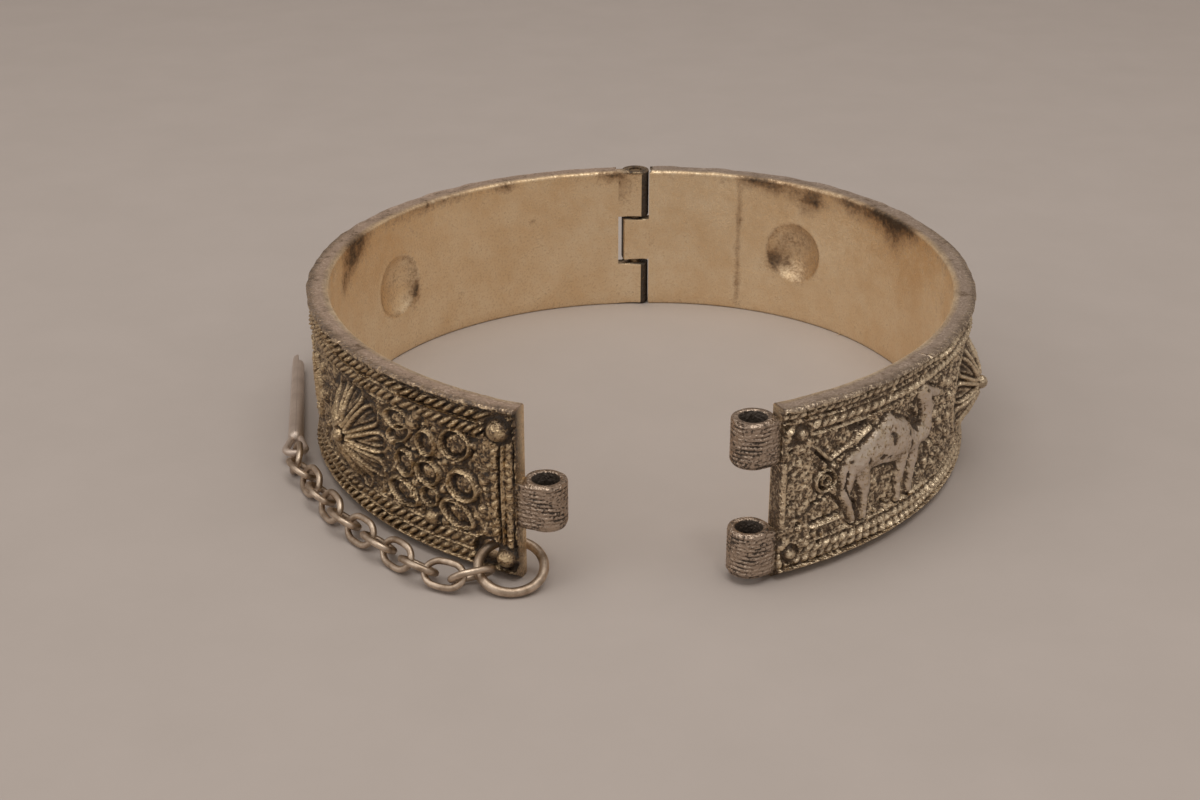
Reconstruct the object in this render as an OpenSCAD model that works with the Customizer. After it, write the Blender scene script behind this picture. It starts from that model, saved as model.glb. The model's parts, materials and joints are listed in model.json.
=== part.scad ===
// Hinged cuff bracelet of cast silver, lying open on its lower rim.
// Frame: +X right, +Y towards the hinge, +Z up, the surface it rests on at z = 0,
// the middle of the wrist opening at the origin.

/* [Band] */
// Height of the band, lower rim to upper rim
band_h = 15.2; // [15:0.1:15.6]
// Wall thickness at the two rims
rim_t = 2.0; // [1.9:0.05:2.2]
// Wall thickness of the sunken ground behind the ornament
ground_t = 1.5; // [1.4:0.05:1.6]
// How far the leaf loops and figures stand above the ground
relief_h = 0.5; // [0.3:0.05:0.6]
// Width of the roped border along each rim
border_w = 3.2; // [3.1:0.05:3.4]
// Half of the angle by which the cuff lies open
half_open = 7.6; // [7:0.1:9]

/* [Hinge] */
// Outer diameter of the hinge knuckles
knuckle_d = 2.9; // [2.7:0.05:3]
// Diameter of the hinge pin
hinge_pin_d = 1.3; // [1.1:0.05:1.4]
// Radial clearance of the pin in its knuckles
pin_fit = 0.04; // [0.03:0.01:0.08]
// Free space round the knuckles of the other half
knuckle_gap = 0.55; // [0.4:0.05:0.6]
// Distance from the hinge axis to the clasp axis
hinge_to_clasp = 60.9; // [60.8:0.1:61]

/* [Clasp] */
// Outer diameter of the clasp barrels
barrel_d = 3.5; // [3.3:0.05:3.6]
// Bore of the clasp barrels
barrel_bore = 1.9; // [1.7:0.05:2]
// Depth of the fine grooves round each barrel
barrel_groove = 0.12; // [0.05:0.01:0.15]

/* [Rosettes] */
// Diameter of a rosette's dome
dome_d = 8.2; // [7.8:0.1:8.4]
// Height of the dome above the rims
dome_rise = 1.2; // [1:0.05:1.4]
// Number of petals round a dome
petal_count = 12; // [10:1:14]
// Diameter of the dimple behind a dome
dimple_d = 6.4; // [6:0.1:6.8]
// Depth of the dimple
dimple_depth = 1.25; // [1.1:0.05:1.35]

/* [Chain] */
// Wire diameter of the jump ring
ring_wire = 0.8; // [0.7:0.05:0.85]
// Mean radius of the jump ring
ring_r = 2.65; // [2.6:0.01:2.7]
// Wire diameter of the chain links
link_wire = 0.56; // [0.5:0.01:0.64]
// Outer length of a chain link
link_l = 4.0; // [3.98:0.01:4.05]
// Outer width of a chain link
link_w = 2.65; // [2.6:0.01:2.7]

/* [Clasp pin] */
// Length of the clasp pin with its eye
clasp_pin_l = 23; // [22.5:0.1:23.5]
// Width of the two legs together
clasp_pin_d = 1.44; // [1.3:0.02:1.5]
// Wire diameter of the eye
eye_wire = 0.66; // [0.6:0.01:0.68]

/* [Hidden] */
$fn = 48;
silver = "silver";
rosy_silver = [0.80, 0.72, 0.68];

// Each half's inner face is three arcs that run on smoothly from the hinge to the clasp.
// Columns: radius, turn in degrees
LEFT_ARCS = [[29.3, 58], [30.3, 54.4], [33.3, 40.2]];
RIGHT_ARCS = [[24.9, 65.4], [33.0, 47.0], [32.7, 47.5]];
// Heading of the first arc at the hinge, with the cuff closed and the hinge axis at the origin
left_heading = 189.7;
right_heading = 182.4;
hinge_y = 30.25;
axis_depth = 1.15;

// Outline of the border across the lower rim, mirrored at the upper one.
// Columns: height, wall thickness
top_rope = ground_t + 0.45;
BORDER = [[0.15, 0.9], [0.75, rim_t - 0.15], [0.95, ground_t + 0.2], [1.15, top_rope],
    [1.75, top_rope], [1.95, ground_t + 0.2], [2.05, top_rope], [2.2, top_rope],
    [2.3, ground_t + 0.2], [2.45, top_rope - 0.05], [2.95, top_rope - 0.05], [border_w, ground_t]];
// The upper rim is flat, with only its edges eased
UPPER = [[0.05, rim_t - 0.3], [0.3, rim_t], [0.8, rim_t], [0.95, ground_t + 0.2], [1.15, top_rope],
    [1.75, top_rope], [1.95, ground_t + 0.2], [2.05, top_rope], [2.2, top_rope],
    [2.3, ground_t + 0.2], [2.45, top_rope - 0.05], [2.95, top_rope - 0.05], [border_w, ground_t]];

// Hinge knuckles. Columns: lower end, upper end
LEFT_KNUCKLES = [[0.15, 4.7], [10.15, band_h - 0.1]];
RIGHT_KNUCKLES = [[5.25, 9.8]];
// Clasp barrels. Columns: lower end, upper end
LEFT_BARRELS = [[4.8, 8.9]];
RIGHT_BARRELS = [[0.6, 4.6], [10.3, 14.3]];
// The necks that carry the barrels: their thickness, how far they reach into the plate,
// and how far they lie outside the clasp axis
neck_w = 1.6;
neck_root = 0.75;
neck_shift = 0.55;

// Rosettes with a dimple behind them, by their distance along the band from the hinge
LEFT_ROSETTES = [29.2, 63.7];
RIGHT_ROSETTES = [17.6, 53.9];
rosette_z = 7.6;

// Raised loops of the front panels.
// Columns: distance along the band, height, half length, half height, tilt, width of the raised rim
LEFT_LOOPS = [[70.0, 10.9, 1.9, 1.0, 8, 0.32], [73.25, 10.05, 1.1, 1.34, -5, 0.34],
    [76.35, 10.85, 1.65, 1.45, 25, 0.36], [70.75, 7.4, 1.15, 1.35, 0, 0.3],
    [73.35, 7.45, 1.4, 1.22, 15, 0.34], [76.95, 7.4, 1.65, 1.5, -20, 0.52],
    [70.6, 4.65, 1.95, 1.25, -14, 0.36], [73.55, 5.1, 1.05, 1.0, 10, 0.28],
    [76.4, 4.6, 1.9, 1.15, -22, 0.36]];
RIGHT_LOOPS = [[78.35, 7.9, 1.1, 1.05, 0, 0.32], [78.6, 5.2, 1.9, 1.0, 8, 0.3],
    [78.4, 10.6, 1.2, 0.9, 35, 0.3]];
// Small raised pellets of the front panels. Columns: distance along the band, height, radius
LEFT_PELLETS = [[72.1, 11.9, 0.75], [78.5, 12.1, 0.45], [73.7, 3.4, 0.6], [79.0, 3.9, 0.45],
    [79.0, 9.3, 0.4]];
RIGHT_PELLETS = [[61.3, 4.2, 0.6], [61.3, 5.9, 0.6], [61.3, 7.6, 0.6], [61.3, 9.3, 0.6],
    [61.6, 11.0, 0.6], [63.1, 4.9, 0.5], [63.0, 6.7, 0.5], [63.3, 8.3, 0.55], [63.2, 10.2, 0.5],
    [64.6, 4.0, 0.5], [64.8, 6.1, 0.5]];
// Round studs in the corners at the clasp end. Columns: distance from the end, height, radius
LEFT_STUDS = [[1.45, 13.15, 1.1], [0.95, 1.9, 0.85]];
RIGHT_STUDS = [[1.7, 12.65, 0.7], [1.15, 2.3, 0.66]];
// Raised bars across the band at the clasp end. Columns: distance from the end, width
BARS = [[0.75, 0.6], [1.3, 0.2], [2.1, 0.9]];
// How far the bars run into the borders above and below
bar_lap = 0.2;

// Leaf loops that fill the plain stretches at the back, lower than the front panels.
// Columns: first, last, spacing
LEFT_LEAVES = [[5, 22, 4.2], [37, 54.5, 4.2]];
RIGHT_LEAVES = [[5.4, 10, 4.2], [24.8, 25, 4.2], [32, 47.5, 4.2]];
// Half width, half height and rim width of a leaf loop
leaf = [1.7, 3.1, 0.45];
low_relief = relief_h * 0.8;

// The camel, as tapered strokes. Columns: start distance, height, radius, end distance, height, radius
CAMEL = [[75.3, 8.6, 1.3, 72.6, 9.3, 1.75], [72.6, 9.3, 1.75, 70.6, 9.0, 1.9],
    [70.6, 9.0, 1.85, 68.3, 8.0, 1.1], [72.3, 10.4, 0.9, 71.7, 11.1, 0.6],
    [68.3, 8.0, 1.05, 66.4, 8.3, 0.95], [66.3, 8.5, 1.0, 66.0, 10.2, 0.8],
    [66.0, 10.2, 0.85, 66.9, 11.8, 0.7], [66.9, 11.8, 0.68, 64.7, 11.1, 0.42],
    [67.9, 7.4, 0.9, 68.1, 5.4, 0.45], [68.1, 5.4, 0.46, 68.2, 3.5, 0.34],
    [69.6, 7.3, 0.8, 69.9, 5.4, 0.42], [69.9, 5.4, 0.43, 69.9, 3.5, 0.36],
    [76.0, 8.0, 1.0, 76.3, 6.0, 0.5], [76.3, 6.0, 0.51, 75.4, 3.5, 0.34],
    [74.6, 7.8, 1.1, 74.1, 5.6, 0.48], [74.1, 5.6, 0.49, 74.2, 3.5, 0.36]];

// Jump ring: centre, lean of its plane, turn about the vertical
ring_centre = [-10.9, -30.9, 1.42];
ring_lean = 21.5;
ring_turn = 6;
// The hole that it hangs in: distance from the end, height, diameter
ring_hole = [2.58, 2.14, 2.2];

// Chain links from the ring to the pin. Columns: heading, roll, spacing from the link before
LINKS = [[203, 44, 0], [156, -46, 2.4], [139, 35, 2.6], [133, -60, 2.62],
    [130, 35, 2.62], [131, -60, 2.62], [126, 35, 2.62], [119, -60, 2.62],
    [116, 35, 2.62], [116, -60, 2.62], [119, 35, 2.62], [100, -68, 2.45]];
first_link = [-14.0, -31.95];
link_z = 1.26;

// Clasp pin: where its eye ends, its heading, and how high it lies at the eye and at the tip
eye_end = [-31.29, -10.46];
clasp_pin_heading = 98;
clasp_pin_z = [1.3, 0.74];
eye_r = 0.88;
neck_l = 2.4;
// The two legs: the slit between them, where it begins, how much shorter one of them is,
// and how far they lie inside the neck
leg_slit = 0.12;
slit_from = 1.2;
leg_short = 1.4;
leg_lap = 0.2;

// The flat that the band rests on, between two distances from the inner face
FOOT = [0.15, 0.8];
// How far the inner edge of the upper rim is eased
rim_ease = 0.2;
// How far the outer arcs run on past the middle one's ends, and how much thinner that one is
lap_l = 0.4;
hair = 0.02;
// How deep the ornament is rooted in the ground, and the domes, whose feet the bend leaves behind
root = 0.3;
dome_root = 0.4;
// How far the drills run past both faces
past = 1;

// The webs of the knuckles: how far they reach into the plate and into the barrel, and how far
// they stay back from the barrel's ends
web_root = 0.6;
web_bite = 0.5;
web_inset = 0.03;
// How far the hinge pin's ends lie inside the rims
pin_inset = 0.25;

// Half a petal's outline. Columns: distance from the crown, half width
PETAL = [[0.9, 0.12], [3.1, 0.62], [4.1, 0.5]];
petal_tip = 4.5;
petal_rise = 0.28;
// The small ball on a dome's crown: its radius, and how far its centre lies above the crown
crown_ball = [0.5, 0.15];
// How far the centres of the corner studs lie inside the rim's surface
stud_sink = 0.5;

// A place on the plan is [x, y, heading]; this is the one at the end of an arc [radius, turn]
function after_arc(p, arc) = [
    p[0] - arc[0] * sin(p[2]) + arc[0] * sin(p[2] + arc[1]),
    p[1] + arc[0] * cos(p[2]) - arc[0] * cos(p[2] + arc[1]),
    p[2] + arc[1]];
function arc_length(arc) = arc[0] * arc[1] * PI / 180;
function arcs_length(arcs, i = 0) =
    i == len(arcs) ? 0 : arc_length(arcs[i]) + arcs_length(arcs, i + 1);
function place_at(arcs, p, s, i = 0) =
    s <= arc_length(arcs[i]) || i == len(arcs) - 1
        ? after_arc(p, [arcs[i][0], s / arcs[i][0] * 180 / PI])
        : place_at(arcs, after_arc(p, arcs[i]), s - arc_length(arcs[i]), i + 1);
function start_of(arcs, p, n, i = 0) =
    i == n ? p : start_of(arcs, after_arc(p, arcs[i]), n, i + 1);

function wall_start(heading) = [0, -axis_depth, heading];

// Outline of the wall, drawn in by shy all round: [distance from the inner face, height]
function wall_outline(shy) = concat(
    [[shy, band_h - rim_ease], [shy, FOOT[0]], [FOOT[0], shy], [FOOT[1], shy]],
    [for (row = BORDER) [row[1] - shy, row[0]]],
    [for (i = [len(UPPER) - 1:-1:0]) [UPPER[i][1] - shy, band_h - UPPER[i][0]]],
    [[rim_t - 2 * rim_ease, band_h - shy], [rim_ease, band_h - shy]]);

function oval(a, b, n = 16) = [for (i = [0:n - 1]) [a * cos(i * 360 / n), b * sin(i * 360 / n)]];
function petal() = concat(
    [for (p = PETAL) [p[0], -p[1]]],
    [[petal_tip, 0]],
    [for (i = [len(PETAL) - 1:-1:0]) PETAL[i]]);
function pointed(a, b) = [[-a, 0], [-a * 0.55, b * 0.8], [0, b], [a * 0.6, b * 0.7],
    [a, 0], [a * 0.6, -b * 0.7], [0, -b], [-a * 0.55, -b * 0.8]];

// Puts its children on the wall: x along the band, y up, z outwards from the inner face
module on_wall(arcs, heading, s, z) {
    p = place_at(arcs, wall_start(heading), s);
    translate([p[0], p[1], z]) rotate([0, 0, p[2]]) rotate([90, 0, 0]) children();
}

// The wall in three arcs. The middle one is a hair thinner, and its ends sit in its neighbours
module wall(arcs, heading) {
    for (i = [0:len(arcs) - 1]) {
        p = start_of(arcs, wall_start(heading), i);
        r = arcs[i][0];
        lap = lap_l / r * 180 / PI;
        before = i == 2 ? lap : 0;
        after = i == 0 ? lap : 0;
        translate([p[0] - r * sin(p[2]), p[1] + r * cos(p[2]), 0])
            rotate([0, 0, p[2] - 90 - before])
                rotate_extrude(angle = arcs[i][1] + before + after, $fn = 180)
                    polygon([for (q = wall_outline(i == 1 ? hair : 0)) [q[0] + r, q[1]]]);
    }
}

// A knuckle: a barrel on the hinge axis, flat inside, with a web that runs into its own wall
module knuckle(heading, z0, z1) {
    web_l = web_root + knuckle_gap + web_bite;
    rotate([0, 0, heading - 180]) {
        intersection() {
            translate([0, 0, z0]) cylinder(d = knuckle_d, h = z1 - z0);
            translate([-knuckle_d, -axis_depth - hair, 0]) cube([2 * knuckle_d, 2 * knuckle_d, band_h]);
        }
        translate([-(knuckle_d / 2 + knuckle_gap + web_root), -axis_depth, z0 + web_inset])
            cube([web_l, ground_t, z1 - z0 - 2 * web_inset]);
    }
}

// A dome with petals, and a small ball on its crown
module rosette() {
    base_r = dome_d / 2;
    rise = rim_t + dome_rise - ground_t;
    ball_r = (base_r * base_r + rise * rise) / (2 * rise);
    crown = ground_t + rise;
    intersection() {
        translate([0, 0, crown - ball_r]) sphere(r = ball_r, $fn = 96);
        translate([0, 0, ground_t - dome_root]) cylinder(r = base_r, h = rise + 1);
    }
    intersection() {
        translate([0, 0, crown - ball_r]) sphere(r = ball_r + petal_rise, $fn = 96);
        translate([0, 0, ground_t - dome_root]) linear_extrude(rise + 1)
            for (k = [0:petal_count - 1]) rotate(k * 360 / petal_count) polygon(petal());
    }
    translate([0, 0, crown + crown_ball[1]]) sphere(r = crown_ball[0], $fn = 32);
}

module dimple() {
    r = dimple_d / 2;
    ball_r = (r * r + dimple_depth * dimple_depth) / (2 * dimple_depth);
    translate([0, 0, dimple_depth - ball_r]) sphere(r = ball_r, $fn = 96);
}

// A raised loop round a sunken middle
module loop(a, b, rim) {
    translate([0, 0, ground_t - root]) linear_extrude(root + relief_h)
        difference() {
            polygon(oval(a, b));
            polygon(oval(a - rim, b - rim));
        }
}

module leaf_loop(a, b, rim) {
    translate([0, 0, ground_t - root]) linear_extrude(root + low_relief)
        difference() {
            polygon(pointed(a, b));
            polygon(pointed(a - rim, b - rim * 1.4));
        }
}

// A tapered stroke between two round ends
module stroke(row) {
    along = atan2(row[4] - row[1], row[3] - row[0]);
    run = norm([row[3] - row[0], row[4] - row[1]]);
    translate([row[0], row[1]]) rotate(along) {
        polygon([[0, row[2]], [0, -row[2]], [run, -row[5]], [run, row[5]]]);
        circle(r = row[2], $fn = 12);
        translate([run, 0]) circle(r = row[5], $fn = 12);
    }
}

// The camel in low relief, each stroke laid on the wall where it stands
module camel(arcs, heading) {
    for (row = CAMEL) {
        middle = [(row[0] + row[3]) / 2, (row[1] + row[4]) / 2];
        on_wall(arcs, heading, middle[0], middle[1])
            translate([0, 0, ground_t - root]) linear_extrude(root + relief_h)
                translate(-middle) stroke(row);
    }
}

module barrel(z0, z1) {
    steps = 10;
    pitch = (z1 - z0) / steps;
    translate([0, 0, z0]) rotate_extrude() polygon(concat(
        [[0, 0]],
        [for (k = [0:steps - 1]) each [[barrel_d / 2 - barrel_groove, k * pitch],
            [barrel_d / 2, (k + 0.5) * pitch]]],
        [[barrel_d / 2 - barrel_groove, z1 - z0], [0, z1 - z0]]));
}

// One half of the cuff, closed, with the hinge axis at the origin
module half(arcs, heading, knuckles, barrels, rosettes, loops, pellets, studs, leaves) {
    whole = arcs_length(arcs);
    end = place_at(arcs, wall_start(heading), whole);
    difference() {
        union() {
            difference() {
                wall(arcs, heading);
                translate([0, 0, -past])
                    cylinder(r = knuckle_d / 2 + knuckle_gap, h = band_h + 2 * past);
            }
            for (k = knuckles) knuckle(heading, k[0], k[1]);
            for (b = barrels) {
                translate([0, -hinge_to_clasp, 0]) barrel(b[0], b[1]);
                translate([end[0] - neck_root, -hinge_to_clasp - neck_w / 2 - neck_shift, b[0]])
                    cube([neck_root - end[0], neck_w, b[1] - b[0]]);
            }
            for (s = rosettes) on_wall(arcs, heading, s, rosette_z) rosette();
            for (row = loops) on_wall(arcs, heading, row[0], row[1])
                rotate(row[4]) loop(row[2], row[3], row[5]);
            for (row = pellets) on_wall(arcs, heading, row[0], row[1])
                translate([0, 0, ground_t]) sphere(r = row[2], $fn = 24);
            for (row = studs) on_wall(arcs, heading, whole - row[0], row[1])
                translate([0, 0, rim_t - stud_sink]) sphere(r = row[2], $fn = 32);
            for (row = BARS) on_wall(arcs, heading, whole - row[0], border_w - bar_lap)
                translate([-row[1] / 2, 0, ground_t - root])
                    cube([row[1], band_h - 2 * border_w + 2 * bar_lap, root + low_relief]);
            for (row = leaves, s = [row[0]:row[2]:row[1]])
                on_wall(arcs, heading, s, rosette_z) leaf_loop(leaf[0], leaf[1], leaf[2]);
        }
        for (s = rosettes) on_wall(arcs, heading, s, rosette_z) dimple();
        translate([0, 0, -past]) cylinder(d = hinge_pin_d + 2 * pin_fit, h = band_h + 2 * past);
        translate([0, -hinge_to_clasp, -past]) cylinder(d = barrel_bore, h = band_h + 2 * past);
    }
}

module left_half() {
    whole = arcs_length(LEFT_ARCS);
    color(silver) translate([0, hinge_y, 0]) rotate([0, 0, -half_open])
        difference() {
            half(LEFT_ARCS, left_heading, LEFT_KNUCKLES, LEFT_BARRELS,
                LEFT_ROSETTES, LEFT_LOOPS, LEFT_PELLETS, LEFT_STUDS, LEFT_LEAVES);
            on_wall(LEFT_ARCS, left_heading, whole - ring_hole[0], ring_hole[1])
                translate([0, 0, -past]) cylinder(d = ring_hole[2], h = rim_t + 3 * past);
        }
}

module right_half() {
    color(silver) translate([0, hinge_y, 0]) rotate([0, 0, half_open]) mirror([1, 0, 0])
        union() {
            half(RIGHT_ARCS, right_heading, RIGHT_KNUCKLES, RIGHT_BARRELS,
                RIGHT_ROSETTES, RIGHT_LOOPS, RIGHT_PELLETS, RIGHT_STUDS, RIGHT_LEAVES);
            camel(RIGHT_ARCS, right_heading);
        }
}

module hinge_pin() {
    color(silver) translate([0, hinge_y, pin_inset])
        cylinder(d = hinge_pin_d, h = band_h - 2 * pin_inset);
}

module jump_ring() {
    color(rosy_silver) translate(ring_centre) rotate([0, 0, ring_turn]) rotate([ring_lean, 0, 0])
        rotate_extrude() translate([ring_r, 0]) circle(d = ring_wire);
}

// An oval link of round wire, long axis along X
module oval_link() {
    bend_r = (link_w - link_wire) / 2;
    side = (link_l - link_wire) / 2 - bend_r;
    for (flip = [0, 180]) rotate([0, 0, flip]) {
        translate([side, 0, 0]) rotate([0, 0, -90])
            rotate_extrude(angle = 180) translate([bend_r, 0]) circle(d = link_wire);
        translate([-side, bend_r, 0]) rotate([0, 90, 0]) cylinder(d = link_wire, h = 2 * side);
    }
}

function direction(k) = [cos(LINKS[k][0]), sin(LINKS[k][0])];
function link_place(k) =
    k == 0 ? first_link
        : link_place(k - 1) + LINKS[k][2] / 2 * (direction(k - 1) + direction(k));

module chain_link(k) {
    p = link_place(k);
    color(rosy_silver) translate([p[0], p[1], link_z])
        rotate([0, 0, LINKS[k][0]]) rotate([LINKS[k][1], 0, 0]) oval_link();
}

// A long split pin of two half-round legs, bent round at one end into an eye
module clasp_pin() {
    dip = asin((clasp_pin_z[0] - clasp_pin_z[1]) / clasp_pin_l);
    neck_drop = eye_r - clasp_pin_d / 4;
    neck_angle = atan2(neck_drop, neck_l);
    leg_start = eye_r + neck_l - leg_lap;
    color(rosy_silver) translate([eye_end[0], eye_end[1], clasp_pin_z[0]])
        rotate([0, 0, clasp_pin_heading]) rotate([0, dip, 0]) {
            translate([eye_r, 0, 0]) rotate([0, 0, 90])
                rotate_extrude(angle = 180) translate([eye_r, 0]) circle(d = eye_wire);
            for (side = [-1, 1])
                translate([eye_r, side * eye_r, 0])
                    rotate([0, 0, -side * neck_angle]) rotate([0, 90, 0])
                        cylinder(d = eye_wire, h = neck_l / cos(neck_angle));
            difference() {
                translate([leg_start, 0, 0]) rotate([0, 90, 0])
                    cylinder(d = clasp_pin_d, h = clasp_pin_l - leg_start);
                translate([leg_start + slit_from, -leg_slit / 2, -past])
                    cube([clasp_pin_l, leg_slit, 2 * past]);
                translate([clasp_pin_l - leg_short, -past, -past])
                    cube([leg_short + past, past, 2 * past]);
            }
        }
}

left_half();
right_half();
hinge_pin();
jump_ring();
chain_link(0);  // chain_link_01
chain_link(1);  // chain_link_02
chain_link(2);  // chain_link_03
chain_link(3);  // chain_link_04
chain_link(4);  // chain_link_05
chain_link(5);  // chain_link_06
chain_link(6);  // chain_link_07
chain_link(7);  // chain_link_08
chain_link(8);  // chain_link_09
chain_link(9);  // chain_link_10
chain_link(10);  // chain_link_11
chain_link(11);  // chain_link_12
clasp_pin();
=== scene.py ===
import json
import math

import bpy
import bmesh
import numpy as np
from mathutils import Matrix, Vector


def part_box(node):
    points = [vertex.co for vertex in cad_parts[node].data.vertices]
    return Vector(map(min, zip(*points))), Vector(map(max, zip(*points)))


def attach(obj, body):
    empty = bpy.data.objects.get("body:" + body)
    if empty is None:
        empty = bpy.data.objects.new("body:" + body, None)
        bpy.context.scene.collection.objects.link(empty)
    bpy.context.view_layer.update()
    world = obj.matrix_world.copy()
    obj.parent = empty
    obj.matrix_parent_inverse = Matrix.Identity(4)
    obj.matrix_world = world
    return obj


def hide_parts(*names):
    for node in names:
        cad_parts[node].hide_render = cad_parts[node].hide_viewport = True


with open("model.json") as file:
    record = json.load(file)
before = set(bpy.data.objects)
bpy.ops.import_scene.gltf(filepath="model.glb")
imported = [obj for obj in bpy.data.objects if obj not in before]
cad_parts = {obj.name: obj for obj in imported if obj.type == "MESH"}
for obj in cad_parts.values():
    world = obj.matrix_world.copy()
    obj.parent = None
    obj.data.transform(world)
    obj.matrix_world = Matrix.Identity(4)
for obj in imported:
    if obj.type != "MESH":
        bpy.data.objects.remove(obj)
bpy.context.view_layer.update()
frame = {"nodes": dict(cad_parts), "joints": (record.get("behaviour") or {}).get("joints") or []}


# The plan of the cuff. Each half is a strip of cast silver, bent round the wrist in three arcs
# that run on smoothly from the hinge at the back to the barrels at the front. Lengths on the
# strip are in millimetres: along it from the hinge, up from the lower rim, out from the inner face.
MM = 0.001
BAND_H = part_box("left_half")[1].z / MM
HINGE = Vector(frame["joints"][0]["pos_m"]) / MM
# Thickness at the rims and in the panels
RIM_T, GROUND_T = 2.0, 1.5
# How far the hinge axis lies outside the inner face, and the clasp axis from the hinge axis
AXIS_DEPTH, CLASP_REACH = 1.15, 60.9


class Strip:
    """One half's strip: arcs of (radius, turn), side -1 for the half that is mirrored."""

    def __init__(self, arcs, heading, side, open_deg):
        self.side, self.turn = side, math.radians(open_deg)
        self.arcs, s, x, y, h = [], 0.0, 0.0, -AXIS_DEPTH, math.radians(heading)
        for radius, turn in arcs:
            cx, cy = x - radius * math.sin(h), y + radius * math.cos(h)
            length = radius * math.radians(turn)
            self.arcs.append((s, length, radius, cx, cy, h))
            h += math.radians(turn)
            x, y, s = cx + radius * math.sin(h), cy - radius * math.cos(h), s + length
        self.length = s

    def to_rest(self, x, y, z):
        """Points of the closed plan, whose origin is the hinge axis, as the cuff lies open."""
        x = x * self.side
        c, n = math.cos(self.turn), math.sin(self.turn)
        return np.stack([HINGE.x + x * c - y * n, HINGE.y + x * n + y * c, z + 0 * x], -1)

    def to_closed(self, p):
        dx, dy = p[:, 0] - HINGE.x, p[:, 1] - HINGE.y
        c, n = math.cos(self.turn), math.sin(self.turn)
        return (dx * c + dy * n) * self.side, dy * c - dx * n

    def closed(self, s, out):
        s, out = np.broadcast_arrays(np.asarray(s, float), np.asarray(out, float))
        x, y = np.empty(s.shape), np.empty(s.shape)
        for i, (s0, length, radius, cx, cy, h) in enumerate(self.arcs):
            first, last = i == 0, i == len(self.arcs) - 1
            here = ((s >= s0) | first) & ((s < s0 + length) | last)
            a = h + (s[here] - s0) / radius
            x[here] = cx + (radius + out[here]) * np.sin(a)
            y[here] = cy - (radius + out[here]) * np.cos(a)
        return x, y

    def place(self, s, z, out):
        x, y = self.closed(s, out)
        return self.to_rest(x, y, np.broadcast_to(z, x.shape))

    def unroll(self, p):
        """Along and out for points in millimetres where the cuff lies."""
        x, y = self.to_closed(p)
        best, s, out = np.full(len(p), 1e9), np.zeros(len(p)), np.zeros(len(p))
        for s0, length, radius, cx, cy, h in self.arcs:
            a = np.arctan2(x - cx, cy - y)
            a = h + (a - h + math.pi) % (2 * math.pi) - math.pi
            along = radius * (a - h)
            miss = np.maximum(np.maximum(-along, along - length), 0)
            near = miss < best
            best[near] = miss[near]
            s[near] = (s0 + along)[near]
            out[near] = (np.hypot(x - cx, y - cy) - radius)[near]
        return s, out


LEFT = Strip([(29.3, 58.0), (30.3, 54.4), (33.3, 40.2)], 189.7, 1, -7.6)
RIGHT = Strip([(24.9, 65.4), (33.0, 47.0), (32.7, 47.5)], 182.4, -1, 7.6)


# The relief of the left half. It is cast in one with the strip: a flat rim, two twisted ropes
# with a fine ridge between them along each edge, and in the panel rosettes on domes, raised
# ovals and leaves over a stippled ground. It is worked out as one height over the strip.
COARSE_STEP, FINE_STEP, STEP_UP = 0.2, 0.12, 0.125
# Where the part that faces the wearer begins, which gets the fine step
FINE_FROM = 55.0
# Widths of the casting's bumps, from the finest to slow changes in wear
STIPPLE, LUMP, WOBBLE, WEAR = 0.2, 0.7, 2.0, 3.5
# Width of the borders, which the ornament of the panel stays clear of
BORDER_W = 2.9
ROSETTE_Z, DOME_R, DOME_CROWN = 7.6, 4.1, 3.2
# Petals of a rosette: where they begin and end, and how far along they are widest
PETALS = 10
PETAL_ROOT, PETAL_TIP, PETAL_WIDEST = 0.5, 5.0, 0.68


def blur(height, width):
    """The height smoothed over about that many millimetres."""
    for axis, step in enumerate((FINE_STEP, STEP_UP)):
        half = max(1, int(round(1.5 * width / step)))
        reach = np.arange(-half, half + 1) * step
        weight = np.exp(-0.5 * (reach / (0.5 * width)) ** 2)
        weight /= weight.sum()
        pad = [(half, half) if a == axis else (0, 0) for a in (0, 1)]
        wide = np.pad(height, pad, mode="edge")
        n = height.shape[axis]
        height = sum(w * wide.take(range(k, k + n), axis) for k, w in enumerate(weight))
    return height


def grain(shape, width, seed):
    """Even random bumps of about that width, from -1 to 1."""
    field = blur(np.random.default_rng(seed).normal(size=shape), width)
    return np.clip(field / (2.2 * field.std()), -1, 1)


def smooth(x):
    x = np.clip(x, 0, 1)
    return x * x * (3 - 2 * x)


def round_back(x):
    """The height of a round back across a ridge, where x runs from -1 to 1."""
    return np.sqrt(np.clip(1 - x * x, 0, 1))


def swell(x):
    """A softer back than that, with sloping sides."""
    return np.cos(np.clip(x, -1, 1) * math.pi / 2) ** 0.8


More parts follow.
